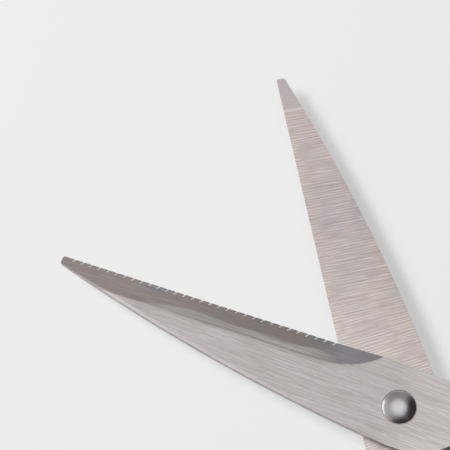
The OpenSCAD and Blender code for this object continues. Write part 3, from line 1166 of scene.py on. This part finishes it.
    @staticmethod
    def _pierce(graph: ShapeGraph) -> None:
        """Fills the tree that cuts the notches, the bore and the tang's hole."""
        step = graph.vector(graph.get("Pitch"), 0.0, 0.0)
        line = graph.add("GeometryNodeMeshLine", {"mode": "OFFSET"},
                         {"Count": graph.get("Notches"), "Start Location": graph.get("First notch"),
                          "Offset": step})
        file = graph.add("GeometryNodeMeshCylinder", None, {
            "Vertices": 20, "Radius": graph.get("Notch radius"), "Depth": graph.get("Notch length")})
        fresh = graph.add("GeometryNodeSetMaterial", None, {"Geometry": file, "Material": graph.get("Cut")})
        turn = graph.add("FunctionNodeEulerToRotation", None, {0: graph.get("Lean")})
        row = graph.add("GeometryNodeInstanceOnPoints", None, {
            "Points": line, "Instance": fresh, "Rotation": turn})
        tools = [graph.add("GeometryNodeRealizeInstances", None, {"Geometry": row})]
        for name in ("Bore", "Tang hole"):
            drill = graph.add("GeometryNodeMeshCylinder", None, {
                "Vertices": 64, "Radius": graph.get(f"{name} radius"), "Depth": graph.get("Drill length")})
            bright = graph.add("GeometryNodeSetMaterial", None, {
                "Geometry": drill, "Material": graph.get("Steel")})
            tools.append(graph.add("GeometryNodeTransform", None, {
                "Geometry": bright, "Translation": graph.get(name)}))
        shape = graph.inputs
        for tool in tools:
            shape = graph.add("GeometryNodeMeshBoolean", {"operation": "DIFFERENCE", "solver": "EXACT"},
                              {"Mesh 1": shape, "Mesh 2": tool})
        is_cut = graph.add("GeometryNodeMaterialSelection", None, {"Material": graph.get("Cut")})
        graph.finish(shape, graph.get("Cut"), is_cut)


@dataclass
class Bow:
    """A handle's bow: D-shaped, its straighter side towards the middle line; sizes in millimetres.

    Attributes:
        reach: from the pivot to the middle of the bow.
        length: overall length.
        width: overall width.
        near_radius: radius of the corners beside the middle line.
        gap: between the two bows when shut.
        rim: width of the hard rim.
        height: of the rim.
    """

    reach: float
    length: float
    width: float
    near_radius: float = 16.0
    gap: float = 3.0
    rim: float = 6.0
    height: float = 11.5

    @property
    def middle(self) -> Pair:
        """Middle of the bow in the frame of the shut half."""
        return -self.reach, -(self.gap + self.width) / 2


@dataclass(frozen=True)
class Stop:
    """The soft stop let into the inner side of a handle's stem; sizes in millimetres.

    Attributes:
        reach: from the pivot to its middle.
        length: along the stem.
        height: of its face.
        thickness: from its face to the bottom of its pocket.
        gap: between the two stops when shut.
        edge: slant of its face's edges.
        corner: radius of its corners.
    """

    reach: float = 36.0
    length: float = 9.0
    height: float = 5.0
    thickness: float = 2.6
    gap: float = 0.2
    edge: float = 0.5
    corner: float = 1.0

    def build(self, rubber: bpy.types.Material) -> bpy.types.Mesh:
        """Builds the stop in the shut half's frame."""
        face = -self.gap / 2
        sections = ((0.0, self.edge), (self.edge, 0.0), (self.thickness, 0.0))
        points, faces = loft([self._ring(face - depth, inset) for depth, inset in sections])
        return new_mesh("stop", points, faces, rubber)

    def _ring(self, y: float, inset: float) -> list[tuple[float, float, float]]:
        """The stop's outline at a place, drawn inwards by an inset."""
        ring = []
        for side_x, side_z, start in ((1, 1, 0), (-1, 1, 90), (-1, -1, 180), (1, -1, 270)):
            centre = (-self.reach + side_x * (self.length / 2 - self.corner),
                      side_z * (self.height / 2 - self.corner))
            ring += [(x, y, z) for x, z in arc(centre, self.corner - inset, start, start + 90, 6)]
        return ring


@dataclass
class Handle:
    """One half's moulded handle with the soft lining of its bow and its stop.

    Attributes:
        blade: the blade that it holds, which gives the half and the tang's place.
        bow: its bow.
        stop: its stop.
        stem_width: width of the stem's front.
        stem_height: height of the stem.
        shut_gap: gap between the stems when shut.
        stem_inner: where the stem's inner corner lies in the bow: behind its front and below its side.
        stem_outer: where its outer corner lies there.
        stem_ease: easing of the stem's corners in plan.
        stem_edge: rounding of the stem's edges.
        rise: distances behind the pivot between which the stem rises to the bow's height.
        rise_edge: distances between which the rounding grows to the bow's.
        join: easing between the stem and the bow in plan.
        bow_edge: rounding of the bow's edges.
        window_edge: rounding of its inner edges.
        nose_front: a point of the nose's front edge, behind the pivot and across.
        nose_sweep: a point of the longer edge behind that.
        nose_lead: distances behind the pivot at which both edges meet the inner side.
        nose_shoulder: distance behind the pivot at which the inner side ends.
        nose_back: points of its back, inside the stem, behind the pivot and across.
        nose_wrap: how far the nose reaches over the blade's shoulder.
        nose_ease: easing of its outline.
        nose_edge: rounding of its edge.
        nose_join: easing between the nose and the stem.
        face_gap: gap between the nose and the plane of the blade's inner face.
        grip: thickness of the soft lining.
        grip_height: height of the soft lining.
        grip_edge: rounding of its edges.
        rib_pitch: distance between the lining's ribs.
        rib_depth: depth of the grooves between the ribs.
        rib_form: step from the ribs' wave to a groove.
        rib_band: heights between which the grooves end, as shares of the lining's.
        rib_side: how squarely the surface must face inwards to be grooved.
        rib_step: distance between sections of the lining.
        voxel: fineness of the moulded shape.
        margin: room for it around the bow, in plan and above.
        nose_limit: end of that room ahead of the nose, behind the pivot, and inwards of it.
    """

    blade: Blade
    bow: Bow
    stop: Stop = Stop()
    stem_width: float = 13.4
    stem_height: float = 10.0
    shut_gap: float = 0.8
    stem_inner: Pair = (13.0, 2.2)
    stem_outer: Pair = (7.0, 28.5)
    stem_ease: float = 4.0
    stem_edge: float = 2.0
    rise: Pair = (30.0, 50.0)
    rise_edge: Pair = (34.0, 52.0)
    join: float = 9.0
    bow_edge: float = 3.0
    window_edge: float = 1.0
    nose_front: Pair = (30.7, 6.1)
    nose_sweep: Pair = (28.7, 10.3)
    nose_lead: Pair = (7.3, 9.5)
    nose_shoulder: float = 12.8
    nose_back: tuple[Pair, Pair] = ((34.0, 8.0), (25.6, 0.2))
    nose_wrap: float = 1.0
    nose_ease: Pair = (1.2, 2.0)
    nose_edge: float = 1.3
    nose_join: float = 0.8
    face_gap: float = 0.06
    grip: float = 2.6
    grip_height: float = 8.6
    grip_edge: float = 1.15
    rib_pitch: float = 2.4
    rib_depth: float = 0.35
    rib_form: Step = Step(-0.2, 0.9)
    rib_band: Step = Step(0.38, 0.26)
    rib_side: Step = Step(-0.25, -0.6)
    rib_step: float = 0.4
    voxel: float = 0.42
    margin: Pair = (1.0, 0.8)
    nose_limit: Pair = (4.0, 14.0)

    @property
    def turn(self) -> float:
        """Turn of the shut half's frame from the middle line as the scissors lie open, in degrees."""
        return self.blade.open_turn - self.blade.shut_turn

    def build_body(self, plastic: bpy.types.Material) -> bpy.types.Mesh:
        """Builds the hard moulding from a distance rule, so that all its parts flow into each other.

        Args:
            plastic: its material.

        Returns:
            Its mesh in the row frame.
        """
        bow = self.bow
        side, above = self.margin
        top, (front, inner) = bow.height / 2 + above, self.nose_limit
        low = Vector((-bow.reach - bow.length / 2 - side, -bow.gap / 2 - bow.width - side, -top))
        high = Vector((-front, inner, top))
        graph = ShapeGraph("moulded_handle", {
            "Low corner": low, "High corner": high, "Bow length": bow.length, "Bow width": bow.width,
            "Near radius": bow.near_radius, "Rim": bow.rim, "Bow height": bow.height,
            "Plastic": plastic})
        place = graph.add("ShaderNodeSeparateXYZ", None, {0: graph.add("GeometryNodeInputPosition")})
        density = -self._moulding(graph, place.out("X"), place.out("Y"), place.out("Z"))
        counts = {f"Resolution {axis}": round((high[i] - low[i]) / self.voxel)
                  for i, axis in enumerate("XYZ")}
        volume = graph.add("GeometryNodeVolumeCube", None, {
            "Density": density, "Background": -10.0, "Min": graph.get("Low corner"),
            "Max": graph.get("High corner"), **counts})
        skin = graph.add("GeometryNodeVolumeToMesh", {"resolution_mode": "GRID"}, {
            "Volume": volume, "Threshold": 0.0})
        graph.finish(skin, graph.get("Plastic"))
        mesh = graph.bake()
        mesh.transform(self.blade.place(self.turn))
        return mesh

    def _moulding(self, graph: ShapeGraph, x: Term, y: Term, z: Term) -> Term:
        """Distance from the moulding's surface, negative inside, at a place in the shut half's frame."""
        ring = self._bow_distance(graph, x, y)
        stem = self._polygon(x, y, self._stem_corners(), self.stem_ease)
        plan = ring.math("SMOOTH_MIN", stem, self.join)
        start, end = self.rise
        half_height = x.ramp(-start, -end, self.stem_height / 2, self.bow.height / 2)
        start, end = self.rise_edge
        rounding = x.ramp(-start, -end, self.stem_edge, self.bow_edge)
        body = self._slab(plan, z, half_height, rounding)
        nose = self._nose(x, y, z)
        window = self._slab(-(ring + graph.get("Rim")), z, graph.get("Bow height") / 2, self.window_edge)
        return body.math("SMOOTH_MIN", nose, self.nose_join).at_least(window)

    def _bow_distance(self, graph: ShapeGraph, x: Term, y: Term) -> Term:
        """Distance from the bow's outline in plan."""
        middle_x, middle_y = self.bow.middle
        near = graph.get("Near radius")
        arcs_y = y - middle_y - graph.get("Bow width") / 2 + near
        radius = near + arcs_y.below(0.0) * (graph.get("Bow width") - near * 2)
        over = (abs(x - middle_x) - graph.get("Bow length") / 2 + radius).at_least(0.0)
        return (over * over + arcs_y * arcs_y).root() - radius

    def _stem_corners(self) -> list[Pair]:
        """Corners of the stem in plan, clockwise from the inner front one."""
        start, inner = -self.blade.stem_start, -self.shut_gap / 2
        outer = inner - self.stem_width
        front_x = -self.bow.reach + self.bow.length / 2
        return [(start, inner), (start, outer),
                (front_x - self.stem_outer[0], -self.bow.gap / 2 - self.stem_outer[1]),
                (front_x - self.stem_inner[0], -self.bow.gap / 2 - self.stem_inner[1])]

    @staticmethod
    def _polygon(x: Term, y: Term, corners: Sequence[Pair], ease: float) -> Term:
        """Distance from a convex outline given clockwise, its corners eased."""
        sides = []
        for (x0, y0), (x1, y1) in zip(corners, [*corners[1:], corners[0]]):
            length = math.hypot(x1 - x0, y1 - y0)
            sides.append((y - y0) * ((x1 - x0) / length) - (x - x0) * ((y1 - y0) / length))
        total = sides[0]
        for side in sides[1:]:
            total = total.math("SMOOTH_MAX", side, ease)
        return total

    @staticmethod
    def _slab(plan: Term, z: Term, half_height: Number, rounding: Number) -> Term:
        """Distance from a shape of constant plan and height, its upper and lower edges rounded."""
        out = plan + rounding
        up = abs(z) - half_height + rounding
        beyond = (out.at_least(0.0) * out.at_least(0.0) + up.at_least(0.0) * up.at_least(0.0)).root()
        return beyond + out.at_least(up).at_most(0.0) - rounding

    def _nose(self, x: Term, y: Term, z: Term) -> Term:
        """Distance from the nose: the plastic over the outer face of the tang's shoulder."""
        turn = math.radians(self.blade.shut_turn)
        ahead = x * math.cos(turn) + y * math.sin(turn)
        across = y * math.cos(turn) - x * math.sin(turn)
        side = self.blade.spine_offset + self.nose_wrap
        behind = [(-back, -out) for back, out in self.nose_back] + [(-self.nose_shoulder, side)]
        outlines = []
        for lead, corner in zip(self.nose_lead, (self.nose_front, self.nose_sweep)):
            corners = [(-lead, side), (-corner[0], -corner[1]), *behind]
            outlines.append(self._polygon(ahead, across, corners, self.nose_ease[0]))
        plan = outlines[0].math("SMOOTH_MIN", outlines[1], self.nose_ease[1])
        solid = self._slab(plan, z, self.stem_height / 2, self.nose_edge)
        return solid.at_least((self.blade.inner_z + self.face_gap) - z)

    def build_grip(self, rubber: bpy.types.Material) -> bpy.types.Mesh:
        """Builds the soft lining: a section swept round the bow, ribbed where the fingers bear on it.

        Args:
            rubber: its material.

        Returns:
            Its mesh in the row frame.
        """
        bow = self.bow
        inset = bow.rim + self.grip / 2
        straight, corner_steps, edge_steps, section_points = 0.01, 40, 6, 44
        graph = ShapeGraph("soft_lining", {
            "Length": bow.length - 2 * inset, "Width": bow.width - 2 * inset,
            "Near radius": bow.near_radius - inset,
            "Far radius": bow.width - bow.near_radius - inset - straight,
            "Thickness": self.grip, "Height": self.grip_height, "Rounding": self.grip_edge,
            "Rib pitch": self.rib_pitch, "Rib depth": self.rib_depth, "Step": self.rib_step,
            "Rubber": rubber})
        position = graph.add("ShaderNodeSeparateXYZ", None, {0: graph.add("GeometryNodeInputPosition")})
        near = position.out("Y").math("GREATER_THAN", 0.0)
        radius = near * (graph.get("Near radius") - graph.get("Far radius")) + graph.get("Far radius")
        box = graph.add("GeometryNodeCurvePrimitiveQuadrilateral", None,
                        {"Width": graph.get("Length"), "Height": graph.get("Width")})
        path = graph.add("GeometryNodeFilletCurve", {"mode": "POLY"}, {
            "Curve": box, "Count": corner_steps, "Radius": radius})
        even = graph.add("GeometryNodeResampleCurve", {"mode": "LENGTH"}, {
            "Curve": path, "Length": graph.get("Step")})
        upright = graph.add("GeometryNodeSetCurveNormal", {"mode": "Z_UP"}, {"Curve": even})
        distance = graph.add("GeometryNodeSplineParameter").out("Length")
        marked = graph.add("GeometryNodeStoreNamedAttribute", {"data_type": "FLOAT", "domain": "POINT"},
                           {"Geometry": upright, "Name": "travel", "Value": distance})
        section = graph.add("GeometryNodeCurvePrimitiveQuadrilateral", None, {
            "Width": graph.get("Thickness"), "Height": graph.get("Height")})
        section = graph.add("GeometryNodeFilletCurve", {"mode": "POLY"}, {
            "Curve": section, "Count": edge_steps, "Radius": graph.get("Rounding")})
        section = graph.add("GeometryNodeResampleCurve", {"mode": "COUNT"}, {
            "Curve": section, "Count": section_points})
        tube = graph.add("GeometryNodeCurveToMesh", None, {"Curve": marked, "Profile Curve": section})
        smooth = graph.add("GeometryNodeSetShadeSmooth", None, {"Geometry": self._ribs(graph, tube)})
        graph.finish(smooth, graph.get("Rubber"))
        mesh = graph.bake()
        mesh.transform(self.blade.place(self.turn) @ Matrix.Translation((*bow.middle, 0.0)))
        return mesh

    def _ribs(self, graph: ShapeGraph, tube: Term) -> Term:
        """Cuts shallow grooves across the inner side of the swept lining."""
        travel = graph.add("GeometryNodeInputNamedAttribute", {"data_type": "FLOAT"}, {"Name": "travel"})
        wave = self.rib_form.at((travel / graph.get("Rib pitch") * (2 * math.pi)).math("COSINE"))
        position = graph.add("GeometryNodeInputPosition")
        normal = graph.add("GeometryNodeInputNormal")
        apart = graph.add("ShaderNodeSeparateXYZ", None, {0: position})
        band = self.rib_band.at(abs(apart.out("Z") / graph.get("Height")))
        outward = graph.add("ShaderNodeVectorMath", {"operation": "NORMALIZE"}, {0: position})
        facing = graph.add("ShaderNodeVectorMath", {"operation": "DOT_PRODUCT"}, {0: outward, 1: normal})
        inner = self.rib_side.at(facing.out("Value"))
        offset = graph.scaled(normal, -(wave * band * inner * graph.get("Rib depth")))
        return graph.add("GeometryNodeSetPosition", None, {"Geometry": tube, "Offset": offset})

    def build_stop(self, rubber: bpy.types.Material) -> bpy.types.Mesh:
        """Builds the soft stop that is let into the stem's inner side.

        Args:
            rubber: its material.

        Returns:
            Its mesh in the row frame.
        """
        mesh = self.stop.build(rubber)
        mesh.transform(self.blade.place(self.turn))
        return mesh


@dataclass
class Turned:
    """A solid of revolution round the pivot's axis; sizes in millimetres.

    Attributes:
        profile: half section as (radius, height) points; it starts and ends on the axis, or is closed.
        closed: whether the profile is closed, as for a ring.
        steps: number of steps round the axis.
    """

    profile: list[Pair]
    closed: bool = False
    steps: int = 96

    def build(self, material: bpy.types.Material) -> bpy.types.Mesh:
        """Builds the solid in the row frame."""
        rings = self.profile if self.closed else self.profile[1:-1]
        points = [(r * math.cos(t), r * math.sin(t), z) for r, z in rings
                  for t in (2 * math.pi * i / self.steps for i in range(self.steps))]
        n, faces = self.steps, []
        pairs = len(rings) if self.closed else len(rings) - 1
        for k in range(pairs):
            a, b = k * n, (k + 1) % len(rings) * n
            faces += [(a + i, b + i, b + (i + 1) % n, a + (i + 1) % n) for i in range(n)]
        if not self.closed:
            points += [(0.0, 0.0, self.profile[0][1]), (0.0, 0.0, self.profile[-1][1])]
            first, last, base = len(points) - 2, len(points) - 1, (len(rings) - 1) * n
            faces += [(first, i, (i + 1) % n) for i in range(n)]
            faces += [(last, base + (i + 1) % n, base + i) for i in range(n)]
        mesh = new_mesh("turned", points, faces, material)
        mesh.transform(Matrix.Scale(MM, 4))
        return mesh


@dataclass
class Pivot:
    """What holds the halves together: the rivet and its two washers; sizes in millimetres.

    Attributes:
        shank: radius of the rivet's shank.
        head: radius and height of the domed head.
        tail: radius and height of the spread tail.
        lip: rounding of the rims.
    """

    shank: float = 2.5
    head: Pair = (4.25, 1.7)
    tail: Pair = (3.7, 1.3)
    lip: float = 0.12

    @staticmethod
    def dome(size: Pair, base: float, side: int, lip: float) -> list[Pair]:
        """Half section of a domed cap, from its crown to its flat underside.

        Args:
            size: radius and height of the cap.
            base: height of the underside.
            side: 1 if the crown is above the underside, -1 if it is below.
            lip: rounding of the rim.

        Returns:
            The section's points.
        """
        rim, rise = size
        radius = (rim ** 2 + rise ** 2) / (2 * rise)
        limit, steps = math.asin((rim - lip * 0.4) / radius), 40
        curve = [(radius * math.sin(a), rise - radius + radius * math.cos(a))
                 for a in (limit * i / steps for i in range(steps + 1))]
        curve += [(rim, lip * 1.2), (rim - lip * 0.1, lip * 0.5), (rim - lip * 0.7, 0.0)]
        return [(r, base + side * h) for r, h in curve]

    def build_rivet(self, material: bpy.types.Material) -> bpy.types.Mesh:
        """Builds the rivet in the row frame."""
        low, high = (corner.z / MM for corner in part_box("pivot_rivet"))
        head = self.dome(self.head, high - self.head[1], 1, self.lip)
        tail = self.dome(self.tail, low + self.tail[1], -1, self.lip)
        neck = [(self.shank, head[-1][1]), (self.shank, tail[-1][1])]
        return Turned([*head, *neck, *tail[::-1]]).build(material)

    @staticmethod
    def build_washer(node: str, bore: float, lip: float, material: bpy.types.Material) -> bpy.types.Mesh:
        """Builds a washer in the row frame.

        Args:
            node: construction node that gives its size and place.
            bore: radius of its hole.
            lip: rounding of its edges.
            material: its material.

        Returns:
            Its mesh.
        """
        low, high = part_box(node)
        outer, bottom, top = high.x / MM, low.z / MM, high.z / MM
        corners = ((outer - lip, top - lip, 90), (outer - lip, bottom + lip, 0),
                   (bore + lip, bottom + lip, 270), (bore + lip, top - lip, 180))
        ring = [point for r, z, start in corners for point in arc((r, z), lip, start, start - 90, 4)]
        return Turned(ring, closed=True).build(material)


@dataclass
class Scissors:
    """The whole pair of scissors.

    Attributes:
        upper: the upper blade, notched and with a worn tip.
        lower: the lower blade, a little wider at the pivot.
        thumb: the bow of the upper half.
        fingers: the bow of the lower half.
    """

    upper: Blade = field(default_factory=lambda: Blade(Half.UPPER, notches=31, tip_trim=0.45))
    lower: Blade = field(default_factory=lambda: Blade(Half.LOWER, spine_offset=11.0))
    thumb: Bow = field(default_factory=lambda: Bow(reach=71.0, length=58.0, width=40.0))
    fingers: Bow = field(default_factory=lambda: Bow(reach=74.0, length=76.0, width=42.0))

    def build(self) -> None:
        """Builds every piece and attaches it to the body it rides on."""
        self._build_blades()
        self._build_pivot()
        self._build_handles()

    def _build_blades(self) -> None:
        """Builds the two blades."""
        cut = CUT_STEEL.build()
        for blade, name in ((self.upper, "upper_blade"), (self.lower, "lower_blade")):
            steel = BladeFinish(f"{name}_steel", blade.half).build(blade)
            mesh = blade.build(steel, cut)
            add_piece(name, mesh, blade.half.body, f"{name}_steel", f"{blade.half.value}_blade", sharp=25.0)

    def _build_pivot(self) -> None:
        """Builds the rivet and its washers."""
        pivot = Pivot()
        body = Half.LOWER.body
        add_piece("rivet", pivot.build_rivet(RIVET_STEEL.build()), body, "rivet_steel", "pivot_rivet")
        washer = pivot.build_washer("tail_washer", pivot.shank, 0.12, WASHER_STEEL.build())
        add_piece("steel_washer", washer, body, "washer_steel", "tail_washer")
        washer = pivot.build_washer("blade_washer", pivot.shank + RUNNING_CLEARANCE, 0.05, NYLON.build())
        add_piece("nylon_washer", washer, body, "nylon", "blade_washer")

    def _build_handles(self) -> None:
        """Builds the handles with their linings and stops."""
        plastic, rubber = HANDLE_PLASTIC.build(), GRIP_RUBBER.build()
        for blade, bow, name in ((self.upper, self.thumb, "thumb"), (self.lower, self.fingers, "finger")):
            handle = Handle(blade, bow)
            half, body = blade.half.value, blade.half.body
            add_piece(f"{name}_handle", handle.build_body(plastic), body, "handle_plastic", f"{half}_handle",
                      sharp=75.0)
            add_piece(f"{name}_lining", handle.build_grip(rubber), body, "grip_rubber", f"{name}_grip",
                      sharp=60.0)
            add_piece(f"{name}_stop", handle.build_stop(rubber), body, "grip_rubber", f"{half}_stop",
                      sharp=40.0)


# --------------------------------------------------------------------------- studio


@dataclass(frozen=True)
class Sky:
    """The surroundings that the steel reflects: soft light overhead and walls round it.

    Directions are given by shares of the view's right, of its up on the table, and of straight up.

    Attributes:
        overhead: colour of the light overhead.
        over: where it starts and is full, as cosines from its middle.
        over_shift: how far its middle lies off straight up, along X and Y.
        over_left: how far it lies to the left.
        wall: colour of the walls.
        dark: colour of the dark wall on the right.
        right: where that wall starts and is darkest.
        right_low: how far its middle lies below the view's right.
        front: where the walls darken towards the viewer.
        front_right: how far the middle of that part lies to the right.
        left: colour of the left wall.
        left_start: where it starts and is full.
        strip: colour of the bright strip low on the left wall.
        strip_up: how far its middle lies above the view's left.
        strip_side: where it starts and is full, sideways.
        strip_height: heights between which it fades out.
        strength: strength of the whole.
    """

    overhead: Colour = (0.99, 0.98, 1.0)
    over: Step = Step(0.66, 0.99)
    over_shift: Pair = (0.05, -0.06)
    over_left: float = 0.07
    wall: Colour = (0.335, 0.325, 0.315)
    dark: Colour = (0.042, 0.042, 0.047)
    right: Step = Step(0.32, 0.74)
    right_low: float = 0.12
    front: Step = Step(0.42, 0.90)
    front_right: float = 0.2
    left: Colour = (0.60, 0.585, 0.57)
    left_start: Step = Step(0.40, 0.90)
    strip: Colour = (2.0, 1.98, 1.92)
    strip_up: float = 0.12
    strip_side: Step = Step(0.80, 0.95)
    strip_height: Step = Step(0.34, 0.16)
    strength: float = 0.85

    def build(self, right: Vector, up: Vector) -> None:
        """Makes the surroundings.

        Args:
            right: direction on the table that is right in the view.
            up: direction on the table that is up in the view.
        """
        world = bpy.data.worlds.new("studio")
        bpy.context.scene.world = world
        world.use_nodes = True
        graph = Graph(world.node_tree)
        direction = graph.add("ShaderNodeTexCoord").out("Generated")

        def towards(vector: Vector) -> Term:
            """Cosine of the angle between a ray and a direction."""
            dot = graph.add("ShaderNodeVectorMath", {"operation": "DOT_PRODUCT"},
                            {0: direction, 1: tuple(vector.normalized())})
            return dot.out("Value")

        above = Vector((*self.over_shift, 1.0)) - right * self.over_left
        on_right = self.right.at(towards(right - up * self.right_low))
        in_front = self.front.at(towards(right * self.front_right - up))
        colour = graph.mix(on_right.at_least(in_front), self.wall, self.dark)
        colour = graph.mix(self.left_start.at(towards(-right)), colour, self.left)
        colour = graph.mix(self.over.at(towards(above)), colour, self.overhead)
        strip = self.strip_side.at(towards(up * self.strip_up - right))
        strip = strip * self.strip_height.at(towards(Vector((0, 0, 1))))
        colour = graph.mix(strip, colour, self.strip)
        shade = graph.add("ShaderNodeBackground", None, {"Color": colour, "Strength": self.strength})
        graph.add("ShaderNodeOutputWorld", None, {"Surface": shade})


@dataclass(frozen=True)
class Key:
    """The key light: large and soft, above and left of the view; sizes in metres.

    Attributes:
        size: side of its square.
        watts: its power.
        colour: its colour.
        aim: distance ahead of the pivot at which it points, in millimetres.
        left: how far it stands to the left.
        up: how far it stands up the view.
        height: its height above the table.
    """

    size: float = 0.92
    watts: float = 77.0
    colour: Colour = (1.0, 0.995, 0.985)
    aim: float = 30.0
    left: float = 0.93 * 1.55
    up: float = 0.36 * 1.55
    height: float = 1.55

    def build(self, right: Vector, up: Vector) -> None:
        """Makes the light.

        Args:
            right: direction on the table that is right in the view.
            up: direction on the table that is up in the view.
        """
        data = bpy.data.lights.new("key", "AREA")
        data.shape, data.size, data.size_y = "RECTANGLE", self.size, self.size
        data.energy, data.color = self.watts, self.colour
        key = bpy.data.objects.new("key", data)
        bpy.context.scene.collection.objects.link(key)
        key.visible_glossy = False
        aim = Vector((self.aim * MM, 0.0, 0.0))
        place = aim - right * self.left + up * self.up + Vector((0.0, 0.0, self.height))
        facing = (place - aim).to_track_quat("Z", "Y").to_matrix().to_4x4()
        key.matrix_world = Matrix.Translation(place) @ facing


@dataclass
class Studio:
    """Floor, light and camera round the scissors; sizes in millimetres.

    Attributes:
        eye: place of the camera.
        target: point above the table at the middle of its view.
        up: direction that is up in its view.
        lens: focal length of the camera.
        sensor: width of its sensor.
        clip: nearest and farthest distance that it sees, in metres.
        floor_size: side of the floor.
        floor_drop: how far it lies under the bows.
        floor_colour: its colour.
        floor_roughness: its roughness.
        floor_glow: its own even light, which keeps it pale and smooth.
        sky: the surroundings.
        key: the key light.
    """

    eye: Vector = Vector((-43.0, 49.1, 310.0))
    target: Vector = Vector((65.38, 0.30, 6.0))
    up: Vector = Vector((0.688, -0.638, 0.347))
    lens: float = 100.0
    sensor: float = 36.0
    clip: Pair = (0.01, 20.0)
    floor_size: float = 6000.0
    floor_drop: float = 0.02
    floor_colour: Colour = (0.235, 0.235, 0.236)
    floor_roughness: float = 0.9
    floor_glow: float = 0.468
    sky: Sky = Sky()
    key: Key = Key()

    def build(self) -> None:
        """Builds the studio."""
        axes = self._axes()
        right, up = (Vector((axes.col[i].x, axes.col[i].y, 0)).normalized() for i in (0, 1))
        self._build_camera(axes)
        self._build_floor()
        self.sky.build(right, up)
        self.key.build(right, up)
        bpy.context.scene.view_settings.view_transform = "Standard"

    def _axes(self) -> Matrix:
        """The camera's axes: right, up and back."""
        back = (self.eye - self.target).normalized()
        right = self.up.cross(back).normalized()
        return Matrix((right, back.cross(right), back)).transposed()

    def _build_camera(self, axes: Matrix) -> None:
        """Makes the camera, turned to the given axes."""
        data = bpy.data.cameras.new("camera")
        data.lens, data.sensor_width = self.lens, self.sensor
        data.clip_start, data.clip_end = self.clip
        camera = bpy.data.objects.new("camera", data)
        bpy.context.scene.collection.objects.link(camera)
        camera.matrix_world = Matrix.Translation(self.eye * MM) @ axes.to_4x4()
        bpy.context.scene.camera = camera

    def _build_floor(self) -> None:
        """Makes the plain pale floor, just under the bows."""
        side, z = self.floor_size / 2 * MM, -self.floor_drop * MM
        surface = Surface("floor")
        surface.set(base_color=self.floor_colour, roughness=self.floor_roughness, specular_ior_level=0.0,
                    emission_color=(1.0, 1.0, 1.0), emission_strength=self.floor_glow)
        corners = [(-side, -side, z), (side, -side, z), (side, side, z), (-side, side, z)]
        mesh = new_mesh("floor", corners, [(0, 1, 2, 3)], surface.material)
        floor = bpy.data.objects.new("floor", mesh)
        bpy.context.scene.collection.objects.link(floor)


def main() -> None:
    """Builds the scissors and the studio."""
    logging.basicConfig(level=logging.INFO, format="%(name)s: %(message)s", stream=sys.stdout)
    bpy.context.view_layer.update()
    Scissors().build()
    Studio().build()
    bpy.context.view_layer.update()


if __name__ == "__main__":
    main()
